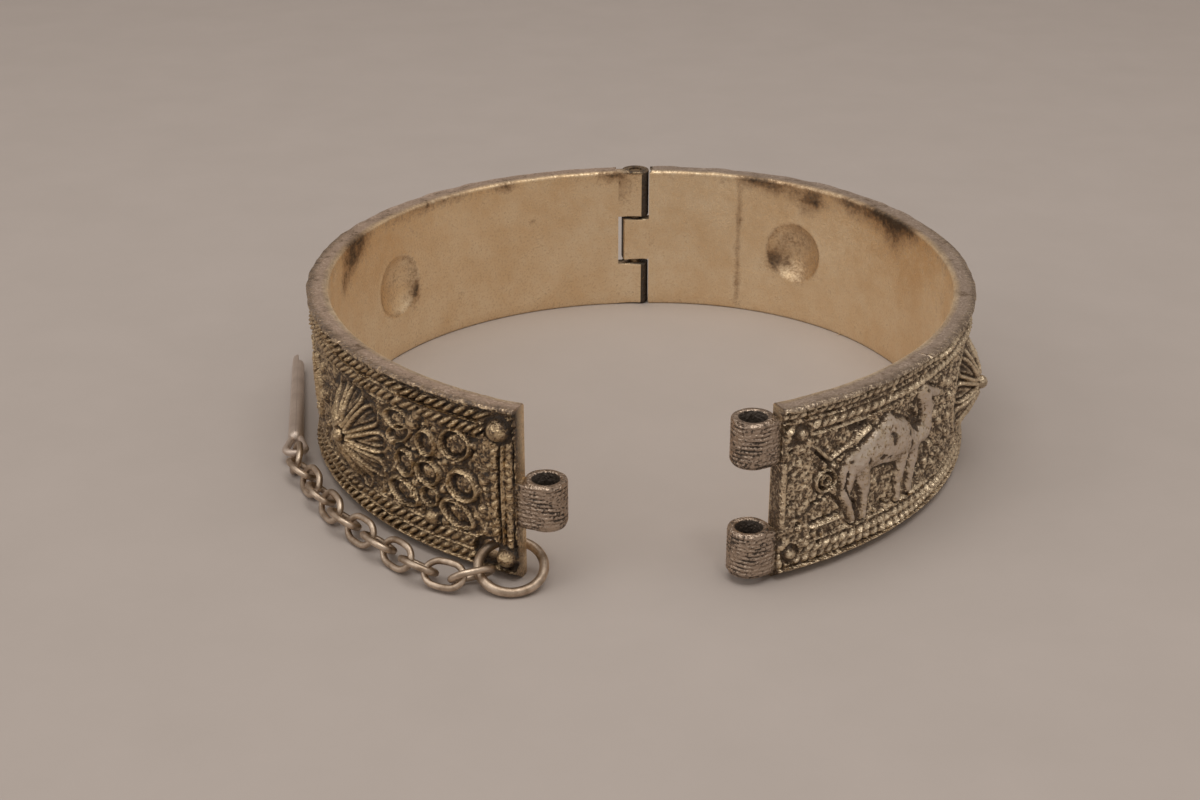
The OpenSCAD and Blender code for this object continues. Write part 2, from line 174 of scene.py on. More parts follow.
class Relief:
    """The height of the strip's outer face over its inner one, on a grid, in millimetres."""

    def __init__(self, strip, seed, lean):
        self.strip, self.lean = strip, lean
        fine = np.linspace(FINE_FROM, strip.length, int((strip.length - FINE_FROM) / FINE_STEP))
        self.s = np.concatenate([np.arange(0, FINE_FROM - 0.05, COARSE_STEP), fine])
        self.z = np.linspace(0.15, BAND_H - 0.12, int(BAND_H / STEP_UP))
        self.S, self.Z = np.meshgrid(self.s, self.z, indexing="ij")
        self.edge = np.minimum(self.Z, BAND_H - self.Z)
        self.wobble = grain(self.S.shape, WOBBLE, seed)
        self.stipple = grain(self.S.shape, STIPPLE, seed + 1)
        self.lumps = grain(self.S.shape, LUMP, seed + 2)
        self.worn = smooth(0.5 + 0.9 * grain(self.S.shape, WEAR, seed + 3))
        # Where the metal is pale, darker than its depth makes it (by tarnish, and in places by painted
        # shade), and calm
        self.pale, self.dark, self.calm = [np.zeros(self.S.shape) for _ in range(3)]
        self.height = GROUND_T - 0.06 + 0.13 * self.stipple + 0.05 * self.lumps

    def add(self, height, where):
        """Raise the face to that height, where it is higher."""
        self.height = np.where(where, np.maximum(self.height, height), self.height)

    def sink(self, height, where):
        """Lower the face to that height, where it is higher."""
        self.height = np.where(where, np.minimum(self.height, height), self.height)

    def darken(self, amount):
        """Darken that much, where it is lighter: mostly tarnish, and painted shade on the rosettes' upper
        petals.
        """
        self.dark = np.maximum(self.dark, amount)

    def soothe(self, amount):
        """Less grain and fewer specks there."""
        self.calm = np.maximum(self.calm, amount)

    def local(self, s, z, tilt=0):
        """Distances from a point of the strip, turned by a tilt."""
        u, v, a = self.S - s, self.Z - z, math.radians(tilt)
        return u * math.cos(a) + v * math.sin(a), v * math.cos(a) - u * math.sin(a)

    def border(self, ropes, ridges, width, slant):
        """Ropes and ridges along both rims, by their distance from the lower and the upper one."""
        for upper in (False, True):
            d = BAND_H - self.Z if upper else self.Z
            here = (self.Z > BAND_H / 2) == upper
            bed = GROUND_T - 0.1 + 0.08 * self.lumps + 0.09 * self.stipple
            self.height = np.where(here & (d < width), bed, self.height)
            slope = self.lean * (1 if upper else -1) * slant
            for low, high, half, pitch, rise in ropes:
                off = d - (high if upper else low) + 0.07 * self.wobble
                u = (self.S + 0.25 * self.wobble + 0.06 * self.lumps + slope * off) / pitch
                turn = np.floor(u)
                # A number from -1 to 1 that is each strand's own
                luck = np.sin(turn * 12.9898 + 7 * low + 3 * upper)
                size = (1 + 0.32 * luck) * (0.5 + 0.55 * self.worn)
                strand = swell((u - turn - 0.5 + 0.08 * luck) / 0.43)
                back = (rise * size + 0.12) * strand * swell(off / half / 1.08) - 0.1
                self.add(GROUND_T + back + 0.02 * self.stipple, here & (np.abs(off) < 1.08 * half))
                self.soothe(0.8 * (here & (np.abs(off) < 1.1 * half)))
            for low, high, half, rise in ridges:
                v = (d - (high if upper else low) + 0.08 * self.wobble) / half
                back = rise * (0.3 + 0.6 * self.worn) * swell(v) + 0.04 * self.stipple
                self.add(GROUND_T + back, here & (np.abs(v) < 1))
        upper_rim = 0.36 + 0.09 * self.wobble + 0.07 * self.lumps
        self.height = np.where(BAND_H - self.Z < upper_rim, RIM_T - 0.04 + 0.05 * self.lumps, self.height)
        lower_rim = self.Z < 0.95
        self.add(RIM_T - 0.12, lower_rim)
        self.sink(np.interp(self.Z, [0.15, 0.75, 0.95], [0.95, RIM_T - 0.2, RIM_T - 0.1]), lower_rim)

    def pellet(self, s, z, r):
        """A round grain in a shallow moat."""
        u, v = self.local(s, z)
        rho = np.hypot(u, v) / r * (1 + 0.12 * self.lumps)
        self.sink(GROUND_T - 0.14, (rho > 1) & (rho < 1 + 0.2 / r) & (self.height < GROUND_T + 0.12))
        self.add(GROUND_T - 0.15 + (r * 0.85 + 0.05) * swell(rho) + 0.03 * self.stipple, rho < 1)
        self.darken(0.2 * (rho < 1))

    def stud(self, back, z, r, crown):
        """A round stud over the border, that far from the end, in a dark channel of its own."""
        u, v = self.local(self.strip.length - back, z)
        rho = np.hypot(u, v) / r * (1 + 0.05 * self.lumps)
        self.sink(GROUND_T - 0.12, (rho < 1 + 0.24 / r) & (self.edge > 0.5))
        self.add(crown - (crown - GROUND_T + 0.1) * rho ** 2.6 + 0.02 * self.stipple, rho < 1)
        self.darken(0.4 * (rho < 1))

    def pit(self, s, z, r):
        """A flaw of the casting, a small round hole."""
        u, v = self.local(s, z)
        rho = np.hypot(u, v) / r * (1 + 0.2 * self.lumps)
        self.height = self.height - 0.45 * round_back(np.minimum(rho, 1))

    def loops(self, rows):
        """Raised oval rims, each round a moat with a stippled boss. The last column draws one
        end out to a point like a leaf's."""
        shapes = []
        for s, z, a, b, tilt, rim, rise, boss, point in rows:
            u, v = self.local(s, z, tilt)
            taper = np.maximum(1 - point * np.clip(u / a, 0, 1) ** 1.5, 0.15)
            rho = np.hypot(u / a, v / (b * taper)) + 0.03 * self.wobble + 0.03 * self.lumps
            shapes.append(((1 - rho) * min(a, b), rim, rise, boss))
        for depth, rim, rise, boss in shapes:
            self.sink(GROUND_T - 0.18, (depth < 0) & (depth > -0.2) & (self.edge > BORDER_W))
        for depth, rim, rise, boss in shapes:
            inside = depth - rim
            floor = GROUND_T - 0.3 + (0.18 + 0.3 * boss) * smooth((inside - 0.08) / 0.35)
            floor = floor + 0.08 * self.stipple * smooth(inside / 0.2)
            self.dark = np.where(inside > 0, 0.08, self.dark)
            self.height = np.where(inside > -0.06, floor, self.height)
        for depth, rim, rise, boss in shapes:
            across = (2 * depth / rim - 1) / 0.85
            back = (rise * (0.7 + 0.2 * self.worn) + 0.2) * swell(across) - 0.2
            self.add(GROUND_T + back + 0.02 * self.stipple, np.abs(across) < 1)
            self.soothe(np.abs(across) < 1.1)
            self.dark = np.where(np.abs(across) < 1, 0.08, self.dark)

    def bar(self, s0, z0, s1, z1, half, rise):
        """A straight rib with a round back, or a groove where the rise is negative."""
        run = math.hypot(s1 - s0, z1 - z0)
        tilt = math.degrees(math.atan2(z1 - z0, s1 - s0))
        u, v = self.local((s0 + s1) / 2, (z0 + z1) / 2, tilt)
        past = np.clip(np.abs(u) - run / 2, 0, None)
        across = np.hypot(past, v + 0.06 * self.wobble) / half
        if rise < 0:
            self.height = self.height + rise * round_back(np.minimum(across, 1))
            self.darken(0.65 * smooth(1.7 - 1.4 * across))
        else:
            self.add(GROUND_T + rise * swell(across) + 0.03 * self.stipple, across < 1)
            self.soothe(across < 1)

    def rosette(self, s, ring):
        """A dome with long double-edged petals that run from its crown out over its foot, in a
        fine ring of that height where it has one."""
        u, v = self.local(s, ROSETTE_Z)
        u, v = u + 0.08 * self.wobble, v + 0.07 * self.lumps
        rho, phi = np.hypot(u, v), np.arctan2(v, u) - 0.1
        # The dome stands between the cap of a ball and a cone
        rise = DOME_CROWN - GROUND_T
        ball = (DOME_R ** 2 + rise ** 2) / (2 * rise)
        dome = DOME_CROWN - ball + np.sqrt(np.clip(ball ** 2 - rho ** 2, 0, None))
        dome = 0.65 * dome + 0.35 * (DOME_CROWN - rise * rho / DOME_R)
        dome = np.maximum(dome, GROUND_T - 0.05)
        # How far along the nearest petal a place is, how far from its middle, and how wide it is there
        sector = 2 * math.pi / PETALS
        off = (phi / sector - np.round(phi / sector)) * sector
        along, side = rho * np.cos(off), np.abs(rho * np.sin(off))
        t = (along - PETAL_ROOT) / (PETAL_TIP - PETAL_ROOT)
        widest = 0.95 * math.pi * (PETAL_ROOT + PETAL_WIDEST * (PETAL_TIP - PETAL_ROOT)) / PETALS
        half = 0.12 + (widest - 0.12) * np.clip(t / PETAL_WIDEST, 0, 1) ** 0.8
        half = half * round_back(np.clip((t - PETAL_WIDEST) / (1 - PETAL_WIDEST), 0, 1))
        # Two lips run round each petal, with a groove between them and a low island in the middle
        inside = half - side
        inner_lip = 0.5 * swell((inside - 0.74) / 0.2) * smooth((t - 0.12) / 0.2)
        lip = swell((inside - 0.22) / 0.26) + inner_lip
        island = smooth((inside - 1.0) / 0.2) * smooth((t - 0.3) / 0.2)
        carved = dome - 0.38 + 0.5 * lip + 0.3 * island + 0.02 * self.stipple
        # The grooves between the lips take tarnish, and the petals towards the top are darkened as painted
        # shade.
        groove = np.clip(1 - 1.1 * lip, 0, 1) * (rho < PETAL_TIP)
        self.darken(0.2 * groove + 0.1 * smooth((v - 0.6) / 1.6) * (rho < PETAL_TIP))
        self.soothe(rho < DOME_R + 0.6)
        foot = (rho < PETAL_TIP + 0.12) & (self.edge > 1.9)
        self.height = np.where(foot & (rho < DOME_R + 0.1), carved, self.height)
        self.sink(GROUND_T - 0.1 + 0.08 * self.stipple, foot & (rho >= DOME_R + 0.1) & (inside < 0))
        self.add(carved, foot & (inside > 0))
        if ring:
            band = (rho - 5.25 + 0.1 * self.wobble) / 0.16
            self.add(GROUND_T + ring * swell(band), (np.abs(band) < 1) & (self.edge > BORDER_W))
        self.sink(DOME_CROWN - 0.3, rho < 0.85)
        self.dark = self.dark + 0.4 * (rho < 0.9)

    def weather(self):
        """The grain of the casting over everything."""
        skin = 0.035 * self.stipple + 0.02 * self.lumps
        self.height = self.height + skin * (1 - 0.5 * self.calm) * smooth(self.edge / 0.5)

    def leaf_scroll(self, first, last, spacing):
        """The plain stretches at the back: upright leaf loops in a row, with pellets between."""
        count = int((last - first) / spacing) + 1
        places = [first + k * spacing for k in range(count)]
        self.loops([(s, ROSETTE_Z, *SCROLL_LEAF) for s in places])
        for k, s in enumerate(places):
            self.bar(s, ROSETTE_Z - 1.6, s, ROSETTE_Z + 1.2, 0.22, 0.36)
            if k < count - 1:
                for up in (-3.2, 0, 3.2):
                    self.pellet(s + spacing / 2, ROSETTE_Z + up, 0.45)

    def sample(self, field, s, z):
        """A field of the grid, read at any place."""
        i = np.clip(np.interp(s, self.s, np.arange(len(self.s))), 0, len(self.s) - 1.001)
        j = np.clip((z - self.z[0]) / (self.z[1] - self.z[0]), 0, len(self.z) - 1.001)
        i0, j0 = i.astype(int), j.astype(int)
        fi, fj = i - i0, j - j0
        near = field[i0, j0] * (1 - fj) + field[i0, j0 + 1] * fj
        far = field[i0 + 1, j0] * (1 - fj) + field[i0 + 1, j0 + 1] * fj
        return near * (1 - fi) + far * fi


LEFT_ROSETTES = [29.2, 63.7]
# A leaf of the scroll at the back, with the columns of LEFT_LOOPS from the third on
SCROLL_LEAF = (3.3, 1.75, 90, 0.42, 0.42, 0.1, 0.5)
# The jump ring's hole: distance from the end, up, radius
RING_HOLE = (2.58, 2.14, 0.85)
# Columns: distance from the lower rim, from the upper rim, half width, pitch, rise
LEFT_ROPES = [(1.3, 1.12, 0.42, 0.92, 0.44), (2.5, 2.5, 0.48, 0.87, 0.38)]
# Columns: distance from the lower rim, from the upper rim, half width, rise
LEFT_RIDGES = [(1.88, 1.74, 0.11, 0.30), (3.13, 3.13, 0.1, 0.2)]
# Columns: along, up, half length, half height, tilt, rim width, rise, boss, point
LEFT_LOOPS = [
    (70.2, 9.9, 1.9, 0.85, 28, 0.26, 0.26, 0.1, 0.4),
    (70.0, 11.1, 1.9, 1.0, 6, 0.32, 0.36, 0.25, 0.3),
    (73.25, 10.05, 1.1, 1.34, -5, 0.34, 0.44, -0.15, 0.0),
    (76.35, 10.85, 1.65, 1.45, 25, 0.36, 0.50, 0.32, 0.0),
    (70.75, 7.4, 1.15, 1.35, 0, 0.3, 0.38, 0.15, 0.0),
    (73.35, 7.45, 1.4, 1.22, 15, 0.34, 0.44, 0.42, 0.0),
    (76.95, 7.4, 1.65, 1.5, -20, 0.52, 0.54, 0.22, 0.0),
    (70.6, 4.65, 1.95, 1.25, -14, 0.36, 0.44, 0.22, 0.45),
    (73.55, 5.4, 1.05, 1.0, 10, 0.28, 0.40, 0.2, 0.0),
    (76.4, 4.6, 1.9, 1.15, -22, 0.36, 0.44, 0.25, 0.45),
]
# Columns: along, up, radius
LEFT_PELLETS = [
    (71.95, 11.5, 0.8), (72.4, 12.2, 0.55), (78.15, 11.3, 0.5), (73.7, 3.45, 0.76), (79.0, 3.9, 0.5),
    (78.8, 5.8, 0.55), (79.2, 7.0, 0.42), (78.9, 9.0, 0.38), (74.95, 6.4, 0.42), (75.25, 8.95, 0.36),
    (71.9, 9.0, 0.3), (72.2, 6.2, 0.36), (69.5, 6.5, 0.4), (69.2, 8.8, 0.42), (75.0, 3.5, 0.4),
    (68.6, 3.6, 0.4), (69.6, 12.4, 0.34), (74.9, 12.4, 0.36), (78.9, 12.2, 0.34),
]
# Columns: distance from the end, up, radius, height of the crown
LEFT_STUDS = [(1.45, 13.15, 1.08, 2.5), (0.95, 1.95, 0.9, 2.35)]

left = Relief(LEFT, seed=11, lean=1)
left.border(LEFT_ROPES, LEFT_RIDGES, width=3.25, slant=1.15)
left.loops(LEFT_LOOPS)
for row in LEFT_PELLETS:
    left.pellet(*row)
left.bar(69.7, 8.7, 74.8, 8.95, 0.16, -0.25)
for at in LEFT_ROSETTES:
    left.rosette(at, ring=0)
# The hidden back: where each scroll of leaves begins and ends, then the pellets after it
LEAF_SPACING = 4.2
left.leaf_scroll(5.0, 22.0, LEAF_SPACING)
left.leaf_scroll(37.0, 54.5, LEAF_SPACING)
for row in [(56.9, 8.0, 0.85), (56.2, 10.4, 0.5), (57.3, 5.4, 0.55)]:
    left.pellet(*row)


def end_border(relief):
    """The upright border at the clasp end: a rough strip, slanted beads, a thin ridge, more beads
    that fade downwards, and the plain edge with a groove before it."""
    back = relief.strip.length - relief.S
    inner = relief.edge > 2.95
    rough = GROUND_T + 0.04 + 0.12 * relief.stipple
    relief.height = np.where(inner & (back < 3.3), np.maximum(relief.height, rough), relief.height)
    relief.sink(GROUND_T - 0.02 + 0.09 * relief.stipple, inner & (back < 2.4))
    # Rows of beads: distance from the end, half width, pitch, whether they fade
    for at, half, pitch, fade in [(1.95, 0.36, 0.78, False), (0.66, 0.32, 0.72, True)]:
        v = (back - at + 0.12 * relief.wobble) / half
        u = (relief.Z + v * half * 0.8 + 0.3 * relief.wobble + 0.12 * relief.lumps) / pitch
        strand = swell((u - np.floor(u) - 0.5) / 0.48)
        if fade:
            strand = np.where(relief.Z < 8.5, 0.8 + 0.2 * relief.lumps, strand)
        lump = 0.26 * strand * (0.6 + 0.4 * relief.worn) * swell(v)
        relief.add(GROUND_T + lump + 0.07 * relief.stipple, (np.abs(v) < 1) & inner)
    v = (back - 1.2 + 0.09 * relief.wobble) / 0.11
    relief.add(GROUND_T + 0.3 * swell(v), (np.abs(v) < 1) & (relief.edge > 2.6))
    # Grooves: distance from the end, depth, half width, how far from the rims they stop
    for at, deep, half, low in [(1.47, 0.28, 0.14, 2.7), (0.27, 0.24, 0.09, 1.0)]:
        trough = (np.abs(back - at + 0.06 * relief.wobble) < half) & (relief.edge > low)
        relief.sink(GROUND_T - deep, trough)
        relief.darken(0.3 * trough)


end_border(left)
# A hollow sunk round the jump ring's hole, painted dark as the shade in and round the hole
hole_back, hole_up, hole_r = RING_HOLE
hole_hollow_and_shade = np.hypot(left.S - (LEFT.length - hole_back), left.Z - hole_up) < hole_r + 0.5
left.sink(GROUND_T - 0.35, hole_hollow_and_shade)
left.dark = left.dark + 0.5 * hole_hollow_and_shade
left.weather()
for row in LEFT_STUDS:
    left.stud(*row)


# The left half itself: the strip with its relief outside and its plain inner face, two hinge
# knuckles flush with that face, the ribbed middle barrel of the clasp on its neck, the dimples
# behind the domes and the hole for the jump ring. All of it is one casting, so it is one mesh.
KNUCKLE_R, HINGE_BORE_R = 1.45, 0.69
BARREL_R, BARREL_BORE_R = 1.75, 0.95
RIB_PITCH, RIB_DEPTH = 0.36, 0.12
DIMPLE_R, DIMPLE_DEPTH = 3.15, 1.15
# The little ball on each dome, and how much of its dome's height it sinks in
CROWN_R, CROWN_SUNK = 0.62, 0.1
# The cast web that joins barrels and knuckles to the strip
WEB_T = GROUND_T - 0.08


def circle(steps):
    """Angles round a full turn."""
    return np.linspace(0, 2 * math.pi, steps, endpoint=False)


def mesh_of(name, points, faces):
    """A closed mesh from points in millimetres, with its faces turned outwards."""
    mesh = bpy.data.meshes.new(name)
    mesh.from_pydata([tuple(p) for p in np.asarray(points) * MM], [], faces)
    work = bmesh.new()
    work.from_mesh(mesh)
    bmesh.ops.recalc_face_normals(work, faces=work.faces)
    work.to_mesh(mesh)
    work.free()
    thing = bpy.data.objects.new(name, mesh)
    bpy.context.scene.collection.objects.link(thing)
    return thing


def tube_faces(rows, ring, caps=True):
    """Faces between rows of ring points each, with both ends closed."""
    faces = []
    for i in range(rows - 1):
        for j in range(ring):
            k = (j + 1) % ring
            faces.append((i * ring + j, i * ring + k, (i + 1) * ring + k, (i + 1) * ring + j))
    if caps:
        faces.append(tuple(range(ring))[::-1])
        faces.append(tuple(range((rows - 1) * ring, rows * ring)))
    return faces


def dimple(relief, rosettes, z):
    """How far the inner face is pressed outwards behind the domes, with a soft lip round it."""
    depth = np.zeros((len(relief.s), len(z)))
    for at in rosettes:
        rho = np.hypot(relief.s[:, None] - at, np.asarray(z)[None, :] - ROSETTE_Z)
        ball_r = (DIMPLE_R ** 2 + DIMPLE_DEPTH ** 2) / (2 * DIMPLE_DEPTH)
        cap = np.sqrt(np.clip(ball_r ** 2 - rho ** 2, 0, None)) - (ball_r - DIMPLE_DEPTH)
        depth += np.where(rho < DIMPLE_R, 0.03 + 0.97 * cap, 0)
        depth -= 0.04 * np.exp(-((rho - DIMPLE_R - 0.2) / 0.2) ** 2)
    return depth


def strip_mesh(name, relief, rosettes):
    """The whole strip as one closed skin, ring by ring from the hinge to the clasp. Each ring goes
    up the relief, over the upper rim, down the inner face and under the lower rim."""
    rows = [(z + 0 * relief.s, relief.height[:, j]) for j, z in enumerate(relief.z)]
    # Each row of the upper rim is uneven in its own way, so it takes a column of the grain
    top, uneven = relief.height[:, -1], 0.05 * relief.lumps + 0.03 * relief.wobble
    for k, inset in enumerate((0.1, 0.3, 0.8, 1.3)):
        fall = 0.03 if k == 0 else 0
        rows.append((BAND_H - fall + uneven[:, 3 * k], np.maximum(top - inset, 0.35)))
    rows.append((BAND_H - 0.02 + uneven[:, 5], 0.22 + uneven[:, 9]))
    rows.append((BAND_H - 0.12 + 0 * top, 0.06 + 0 * top))
    inner_z = np.concatenate([[BAND_H - 0.17], np.linspace(BAND_H - 0.4, 11.3, 4),
                              np.linspace(11.05, 4.15, 36), np.linspace(3.9, 0.3, 5)])
    pressed = dimple(relief, rosettes, inner_z)
    rows += [(z + 0 * top, pressed[:, j]) for j, z in enumerate(inner_z)]
    rows += [(z + 0 * top, out + 0 * top) for z, out in ((0.1, 0.05), (0.0, 0.2), (0.0, 0.78))]
    up = np.stack([r[0] for r in rows], 1)
    out = np.stack([r[1] for r in rows], 1)
    along = np.repeat(relief.s[:, None], up.shape[1], 1)
    points = relief.strip.place(along, up, out).reshape(-1, 3)
    return mesh_of(name, points, tube_faces(len(relief.s), up.shape[1]))


def turned(name, profile, centre, steps=64):
    """A solid turned round an upright axis; the profile is rows of radius and height."""
    points = [(centre[0] + r * math.cos(a), centre[1] + r * math.sin(a), z)
              for r, z in profile for a in circle(steps)]
    return mesh_of(name, points, tube_faces(len(profile), steps))


def bore(r, centre):
    """An upright cylinder through the whole height of the band, to cut with."""
    return turned("bore", [(r, -1), (r, BAND_H + 1)], centre)


def ball(name, centre, r):
    angles = np.linspace(-math.pi / 2, math.pi / 2, 17)[1:-1]
    profile = [(r * math.cos(a), centre[2] + r * math.sin(a)) for a in angles]
    return turned(name, profile, centre, steps=32)


def rod(name, start, end, r):
    """A straight round rod between two points."""
    steps = 40
    start, end = Vector(start), Vector(end)
    side = (end - start).orthogonal().normalized()
    other = (end - start).normalized().cross(side)
    points = [p + r * (math.cos(a) * side + math.sin(a) * other)
              for p in (start, end) for a in circle(steps)]
    return mesh_of(name, points, tube_faces(2, steps))


def prism(name, strip, layers):
    """An upright solid through outlines of the closed plan, each given with its height."""
    points = [strip.to_rest(np.array(x), np.array(y), z) for z, outline in layers for x, y in outline]
    return mesh_of(name, points, tube_faces(len(layers), len(layers[0][1])))


def combine(thing, others, operation):
    """Join or cut the first mesh with each of the others, which are used up."""
    for other in others:
        step = thing.modifiers.new(operation.title(), "BOOLEAN")
        step.object, step.operation, step.solver = other, operation, "MANIFOLD"
        done = bpy.data.meshes.new_from_object(thing.evaluated_get(bpy.context.evaluated_depsgraph_get()))
        thing.modifiers.clear()
        thing.data = done
        bpy.data.objects.remove(other)
    return thing


def rib(z, a, seed):
    """Depth of the uneven wrinkles round a barrel, at a height and an angle."""
    sway = 0.9 * math.sin(2 * a + seed) + 0.7 * math.sin(5 * a + 2 * seed + z)
    deep = 0.65 + 0.35 * math.sin(3 * a + 2.3 * z + seed)
    return RIB_DEPTH * deep * (0.5 - 0.5 * math.cos(2 * math.pi * z / RIB_PITCH + sway)) ** 1.5


def barrel(strip, z0, z1, seed):
    """A clasp barrel with its neck: a rolled end of the strip, wrinkled round the outside."""
    levels = [z0, z0 + 0.12, z0 + 0.3, *np.linspace(z0 + 0.4, z1 - 0.12, int((z1 - z0) / 0.08)), z1]
    shrink = dict(zip(levels, (0.42, 0.16, 0.05)))
    shrink[z1] = 0.1
    layers, neck = [], []
    for z in levels:
        ring = []
        for a in circle(64):
            r = BARREL_R - shrink.get(z, 0.0) - rib(z, a, seed)
            ring.append((r * math.cos(a), r * math.sin(a) - CLASP_REACH))
        layers.append((z, ring))
    # The neck goes from within the strip's end to the barrel's middle. Its outside carries on
    # from the front of the barrel, wrinkles and all.
    inner_root, outer_root = [tuple(map(float, strip.closed(strip.length - 0.8, out))) for out in (0.3, 1.3)]
    edge_x, edge_y = map(float, strip.closed(strip.length, 1.45))
    for z in levels[1:-1]:
        sunk = shrink.get(z, 0.0)
        front = -CLASP_REACH - BARREL_R + 0.02 + rib(z, -1.7, seed) + sunk
        outline = [inner_root, (0.0, -CLASP_REACH + 0.3), (0.0, front)]
        for k in range(1, 6):
            t, bite = k / 5, 0.7 * rib(z, -1.7 - 0.4 * k, seed)
            outline.append((edge_x * t, front + (edge_y + sunk - front) * t ** 1.6 + bite))
        neck.append((z, outline + [outer_root]))
    return [prism("barrel", strip, layers), prism("neck", strip, neck)]


def knuckle(strip, z0, z1, gap, corner):
    """A hinge knuckle with its web: flush with the inner face, round on the outside. The corner
    is how far out the flat face goes before it turns."""
    reach = np.linspace(KNUCKLE_R + gap + 0.8, 0, 8)
    flush, under = strip.closed(reach, 0.015), strip.closed(reach[:-2], WEB_T)
    # Its outline goes along the flush face, turns at the corner, follows the round outside, and
    # comes back inside the strip
    flat = 0.02 - AXIS_DEPTH
    last = math.pi - math.asin((WEB_T - AXIS_DEPTH) / KNUCKLE_R)
    turn = [corner + (KNUCKLE_R - corner) * math.sin(a) for a in np.linspace(0, math.pi / 2, 7)]
    rise = [flat - 0.85 * flat * (1 - math.cos(a)) for a in np.linspace(0, math.pi / 2, 7)]
    arc = [(KNUCKLE_R * math.cos(a), KNUCKLE_R * math.sin(a)) for a in np.linspace(0, last, 28)]
    bulge = [(corner - 0.04, flat), *zip(turn, rise), *arc]
    outline = [*zip(*flush), *bulge, *list(zip(*under))[::-1]]
    small = [(x * 0.955, y * 0.955) if math.hypot(x, y) < KNUCKLE_R + 0.1 else (x, y) for x, y in outline]
    levels = [(z, outline) for z in (z0 + 0.06, z0 + 0.3, z1 - 0.3, z1 - 0.06)]
    return prism("knuckle", strip, [(z0, small)] + levels + [(z1, small)])


def cuff_half(name, relief, knuckles, gap, corner, barrels, rosettes):
    """A whole half: the strip cut clear of the other half's knuckles, with all that is cast on it,
    and then its bores and the funnels that guide the pin into each barrel."""
    strip = relief.strip
    half = strip_mesh(name, relief, rosettes)
    combine(half, [bore(KNUCKLE_R + gap, HINGE)], "DIFFERENCE")
    joined = [knuckle(strip, z0, z1, gap, corner) for z0, z1 in knuckles]
    for k, (z0, z1) in enumerate(barrels):
        joined += barrel(strip, z0, z1, 1.3 + 2.1 * k + strip.side)
    for s in rosettes:
        joined.append(ball("crown", strip.place(s, ROSETTE_Z, DOME_CROWN - CROWN_SUNK), CROWN_R))
    combine(half, joined, "UNION")
    clasp = strip.to_rest(np.array(0.0), np.array(-CLASP_REACH), 0.0)
    # The funnel: radius, and height over the end of its barrel
    mouth = [(BARREL_BORE_R - 0.05, -1.0), (1.12, -0.1), (1.3, 0.2)]
    cuts = [turned("funnel", [(r, z1 + up) for r, up in mouth], clasp) for _, z1 in barrels]
    cuts += [bore(HINGE_BORE_R, HINGE), bore(BARREL_BORE_R, clasp)]
    return combine(half, cuts, "DIFFERENCE")


def tarnish_and_shade_of(relief):
    """How deep in tarnish each place of the relief lies: below its surroundings, near and wide, with the
    painted shade that its dark field holds.
    """
    near = blur(relief.height, 0.6) - relief.height
    wide = blur(relief.height, 2.2) - relief.height
    low = smooth((GROUND_T + 0.2 - relief.height) / 0.5)
    tarnish_and_shade = np.clip(0.27 + 1.6 * near + 0.35 * wide + 0.16 * low + relief.dark, 0, 1)
    return tarnish_and_shade + 0.3 * (relief.edge < 0.45) * (1 - tarnish_and_shade)


